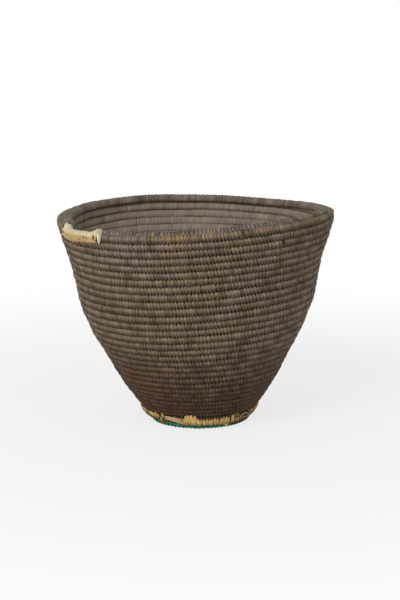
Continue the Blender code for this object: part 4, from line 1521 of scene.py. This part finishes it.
loop = strand(foot_line(*LOOP, LOOP_RINGS), np.full(LOOP_RINGS, LOOP_SIZE))
wisp = strand(foot_line(*WISP), tapered(WISP_SIZE))
loop_shapes = [(loop, np.ones(LOOP_RINGS), stain("yellow", 0.5)), (wisp, even, stain("olive", 0.5))]
dress(straws("loose_loop", loop_shapes), strand_fibre, "pale_binding", "foot_loose_loop")

# %% [markdown]
# The knotted end at the foot is three rings of straw that lean through each other. The knot in
# the eye of the base is five straws, twisted round each other like a rope. Both stand where the
# plain model has them.

# %% The knots
KNOT_RINGS = 41
KNOT_FACES = 0.5
KNOT_WIDE = 1.9
KNOT_TALL = 1.7
KNOT_STRAW = 0.85 * MM
KNOT_OUT = 0.3 * MM
KNOT_LOOPS = ((0.6, 1.0), (-0.7, 0.9), (1.5, 0.8))  # the tilt and the size of each
EYE_STRAWS = 5
EYE_TWIST = 2.2
EYE_SPREAD = 0.85 * MM
EYE_STRAW = 0.75 * MM
UP = np.array((0.0, 0.0, 1.0))


def middle_of(node):
    """The middle of a plain model's node."""
    return np.mean(np.array(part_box(node)), axis=0)


def directions(azimuth):
    """The unit vectors along the basket and straight out of it at an azimuth."""
    cos, sin = math.cos(azimuth), math.sin(azimuth)
    return np.array((cos, sin, 0.0)), np.array((sin, -cos, 0.0))


turns = np.linspace(0, 1, KNOT_RINGS)
# Lights of 1 all along: the knots get neither painted shade nor dirt
unshaded_and_clean = np.ones(KNOT_RINGS)
ahead, out = directions(KNOT_FACES)
knot_shapes = []
for tilt, size in KNOT_LOOPS:
    leaning = ahead * math.cos(tilt) + out * math.sin(tilt) * 0.6
    wide = np.cos(turns * TURN)[:, None] * KNOT_WIDE * MM * size
    tall = np.sin(turns * TURN)[:, None] * KNOT_TALL * MM * size
    line = middle_of("foot_knot") + (wide * leaning + tall * UP) + out * KNOT_OUT
    knot_shapes.append((strand(line, np.full(KNOT_RINGS, KNOT_STRAW)), unshaded_and_clean, stain("gold", 0.3)))
dress(straws("foot_end_knot", knot_shapes), tooth_fibre, "straw", "foot_knot")

bottom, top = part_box("base_centre_knot")
eye_radii = EYE_STRAW * (0.55 + 0.45 * np.sin(np.pi * turns) ** 0.4)
eye_shapes = []
for i in range(EYE_STRAWS):
    spin = i / EYE_STRAWS * TURN + turns * EYE_TWIST
    rise = (turns - 0.5) * (top[2] - bottom[2])
    line = np.stack([np.cos(spin) * EYE_SPREAD, np.sin(spin) * EYE_SPREAD, rise], axis=1)
    eye_shapes.append((strand(middle_of("base_centre_knot") + line, eye_radii), unshaded_and_clean, PLAIN))
dress(straws("base_eye_knot", eye_shapes), straw_fibre, "straw", "base_centre_knot")

# %% [markdown]
# Two tufts of golden fibre lie on the rim, where the plain model has its tags. A tuft is a few
# short straws, each with its own place, bend and thickness.

# %% The tufts on the rim
TUFT_STRAWS = 4
TUFT_RINGS = 11


def tuft(node, rng):
    """A few short ends of dyed fibre where a plain model's tag lies."""
    middle = middle_of(node)
    ahead, out = directions(math.atan2(middle[0], -middle[1]))
    at = np.linspace(-1, 1, TUFT_RINGS)[:, None]
    shapes = []
    for _ in range(TUFT_STRAWS):
        spread = rng.uniform(-1, 1) * out * 0.9 + rng.uniform(0.0, 1.0) * UP * 0.9
        spread = spread + rng.uniform(-1.4, 1.4) * ahead
        rise = at * rng.uniform(-2.0, 2.0) - (at**2) * rng.uniform(0.0, 0.5)
        line = middle + (ahead * at * rng.uniform(0.8, 2.0) + spread + rise * UP) * MM
        rings = strand(line, tapered(rng.uniform(0.5, 0.8), TUFT_RINGS))
        shapes.append((rings, np.ones(TUFT_RINGS), stain("gold", rng.uniform(0.0, 0.3))))
    return shapes


rng = np.random.default_rng(5)
tuft_tones = linear(194, 170, 124), linear(150, 124, 84), linear(70, 48, 28)
tuft_fibre = fibre("gold fibre", *tuft_tones, roughness=0.6)
for node, name in (("rim_tag_front", "front_tuft"), ("rim_tag_back", "back_tuft")):
    dress(straws(name, tuft(node, rng)), tuft_fibre, "gold_fibre", node)

# %% [markdown]
# ## The camera
# The basket was seen from a little above, with a long lens. The lens is worked out from the
# distance in pixels that fits the photograph, and the small shift puts the basket where it stands
# in the frame.

# %% The camera
FRAME_HEIGHT_PX = 600
DISTANCE_PX = 1670
PIXEL = 1.236 * MM
CAMERA_DROP = 0.2121
LOOK_AT = Vector((0.0, 0.0, 134.1 * MM))
SENSOR_MM = 36.0
SHIFT_PX = (4.6, 11.0)

camera_data = bpy.data.cameras.new("camera")
camera = bpy.data.objects.new("camera", camera_data)
bpy.context.scene.collection.objects.link(camera)
camera_data.sensor_width = SENSOR_MM
camera_data.lens = DISTANCE_PX / FRAME_HEIGHT_PX * SENSOR_MM
camera_data.shift_x, camera_data.shift_y = (shift / FRAME_HEIGHT_PX for shift in SHIFT_PX)
back = Vector((0.0, -math.cos(CAMERA_DROP), math.sin(CAMERA_DROP)))
camera.location = LOOK_AT + back * DISTANCE_PX * PIXEL
camera.rotation_mode = "QUATERNION"
camera.rotation_quaternion = (-back).to_track_quat("-Z", "Y")
bpy.context.scene.camera = camera
print(f"lens {camera_data.lens:.1f} mm, {(camera.location - LOOK_AT).length:.2f} m away")

# %% [markdown]
# ## The floor, the background and the lamps
# The object is lit as in a plain studio: one broad lamp from the upper left front, a weak one
# from the right, and a grey surround. The camera itself sees white behind the basket, which a
# Light Path node can do without adding light.

# %% The surround
bpy.context.scene.view_settings.view_transform = "Standard"
WHITE = (1.0, 1.0, 1.0, 1.0)
SURROUND_STRENGTH = 0.42

world = bpy.data.worlds.new("surround")
bpy.context.scene.world = world
world.use_nodes = True
nodes, links = world.node_tree.nodes, world.node_tree.links
background = nodes["Background"]
path = nodes.new("ShaderNodeLightPath")
seen = path.outputs["Is Camera Ray"]
for kind in ("Glossy", "Transmission"):
    either = nodes.new("ShaderNodeMath")
    either.operation = "MAXIMUM"
    links.new(seen, either.inputs[0])
    links.new(path.outputs[f"Is {kind} Ray"], either.inputs[1])
    seen = either.outputs[0]
level = nodes.new("ShaderNodeMapRange")
level.inputs["To Min"].default_value = SURROUND_STRENGTH
level.inputs["To Max"].default_value = 1.0
links.new(seen, level.inputs["Value"])
background.inputs["Color"].default_value = WHITE
links.new(level.outputs[0], background.inputs["Strength"])
print("strength of the surround:", SURROUND_STRENGTH)

# %% [markdown]
# The floor is pale and takes the basket's shadow. To the camera it is partly a plain white, more
# so further out, so that it runs into the white behind it without an edge. Light Path limits that
# to what the camera and glossy and clear surfaces see, and the floor throws no extra light on the
# basket.

# %% The floor
FLOOR_RADIUS = 6.0
FLOOR_CORNERS = 96
FLOOR_WHITE_SHARE = 0.75
SHADOW_REACH = (0.3, 0.9)

work = bmesh.new()
bmesh.ops.create_circle(work, cap_ends=True, segments=FLOOR_CORNERS, radius=FLOOR_RADIUS)
floor_mesh = bpy.data.meshes.new("floor")
work.to_mesh(floor_mesh)
work.free()
floor = bpy.data.objects.new("floor", floor_mesh)
bpy.context.scene.collection.objects.link(floor)

pale = Finish("pale floor", base_color=linear(240, 240, 240), roughness=0.9)
where = pale.node("ShaderNodeTexCoord", {}, {}, output=3)
away = pale.node("ShaderNodeVectorMath", {"operation": "LENGTH"}, {0: where}, output=1)
whiter = away.between(*SHADOW_REACH) * (1 - FLOOR_WHITE_SHARE) + FLOOR_WHITE_SHARE
ray = pale.node("ShaderNodeLightPath", {}, {}).socket.node.outputs
kinds = "Camera", "Glossy", "Transmission"
direct, glossy, clear = (Wire(pale, ray[f"Is {kind} Ray"]) for kind in kinds)
seen = direct.sum("MAXIMUM", direct, glossy.sum("MAXIMUM", glossy, clear))
glow = pale.node("ShaderNodeEmission", {}, {"Color": WHITE, "Strength": 1.0})
shaded = Wire(pale, pale.shader.outputs[0])
both = pale.node("ShaderNodeMixShader", {}, {0: seen * whiter, 1: shaded, 2: glow})
pale.tree.links.new(both.socket, pale.tree.nodes["Material Output"].inputs["Surface"])
floor_mesh.materials.append(pale.material)
print("floor:", 2 * FLOOR_RADIUS, "m across")

# %% [markdown]
# Two square lamps look at the middle of the basket: a broad one at the upper left, which is also
# the photograph's brighter side, and a weak one at the right that opens up the shadows.

# %% The lamps


def lamp(name, spot, size, watts):
    """A square lamp at a spot, turned to the middle of the basket."""
    data = bpy.data.lights.new(name, "AREA")
    data.size = size
    data.energy = watts
    made = bpy.data.objects.new(name, data)
    made.location = spot
    made.rotation_mode = "QUATERNION"
    made.rotation_quaternion = (LOOK_AT - Vector(spot)).to_track_quat("-Z", "Y")
    bpy.context.scene.collection.objects.link(made)
    print(f"{name}: {watts} W, {(LOOK_AT - Vector(spot)).length:.2f} m away")


lamp("key lamp", spot=(-1.15, -1.9, 1.6), size=1.2, watts=32)
lamp("fill lamp", spot=(1.6, -1.4, 0.9), size=1.2, watts=4)

# %% [markdown]
# ## The triangles

# %% The number of triangles
print("triangles:", sum(triangles.values()))
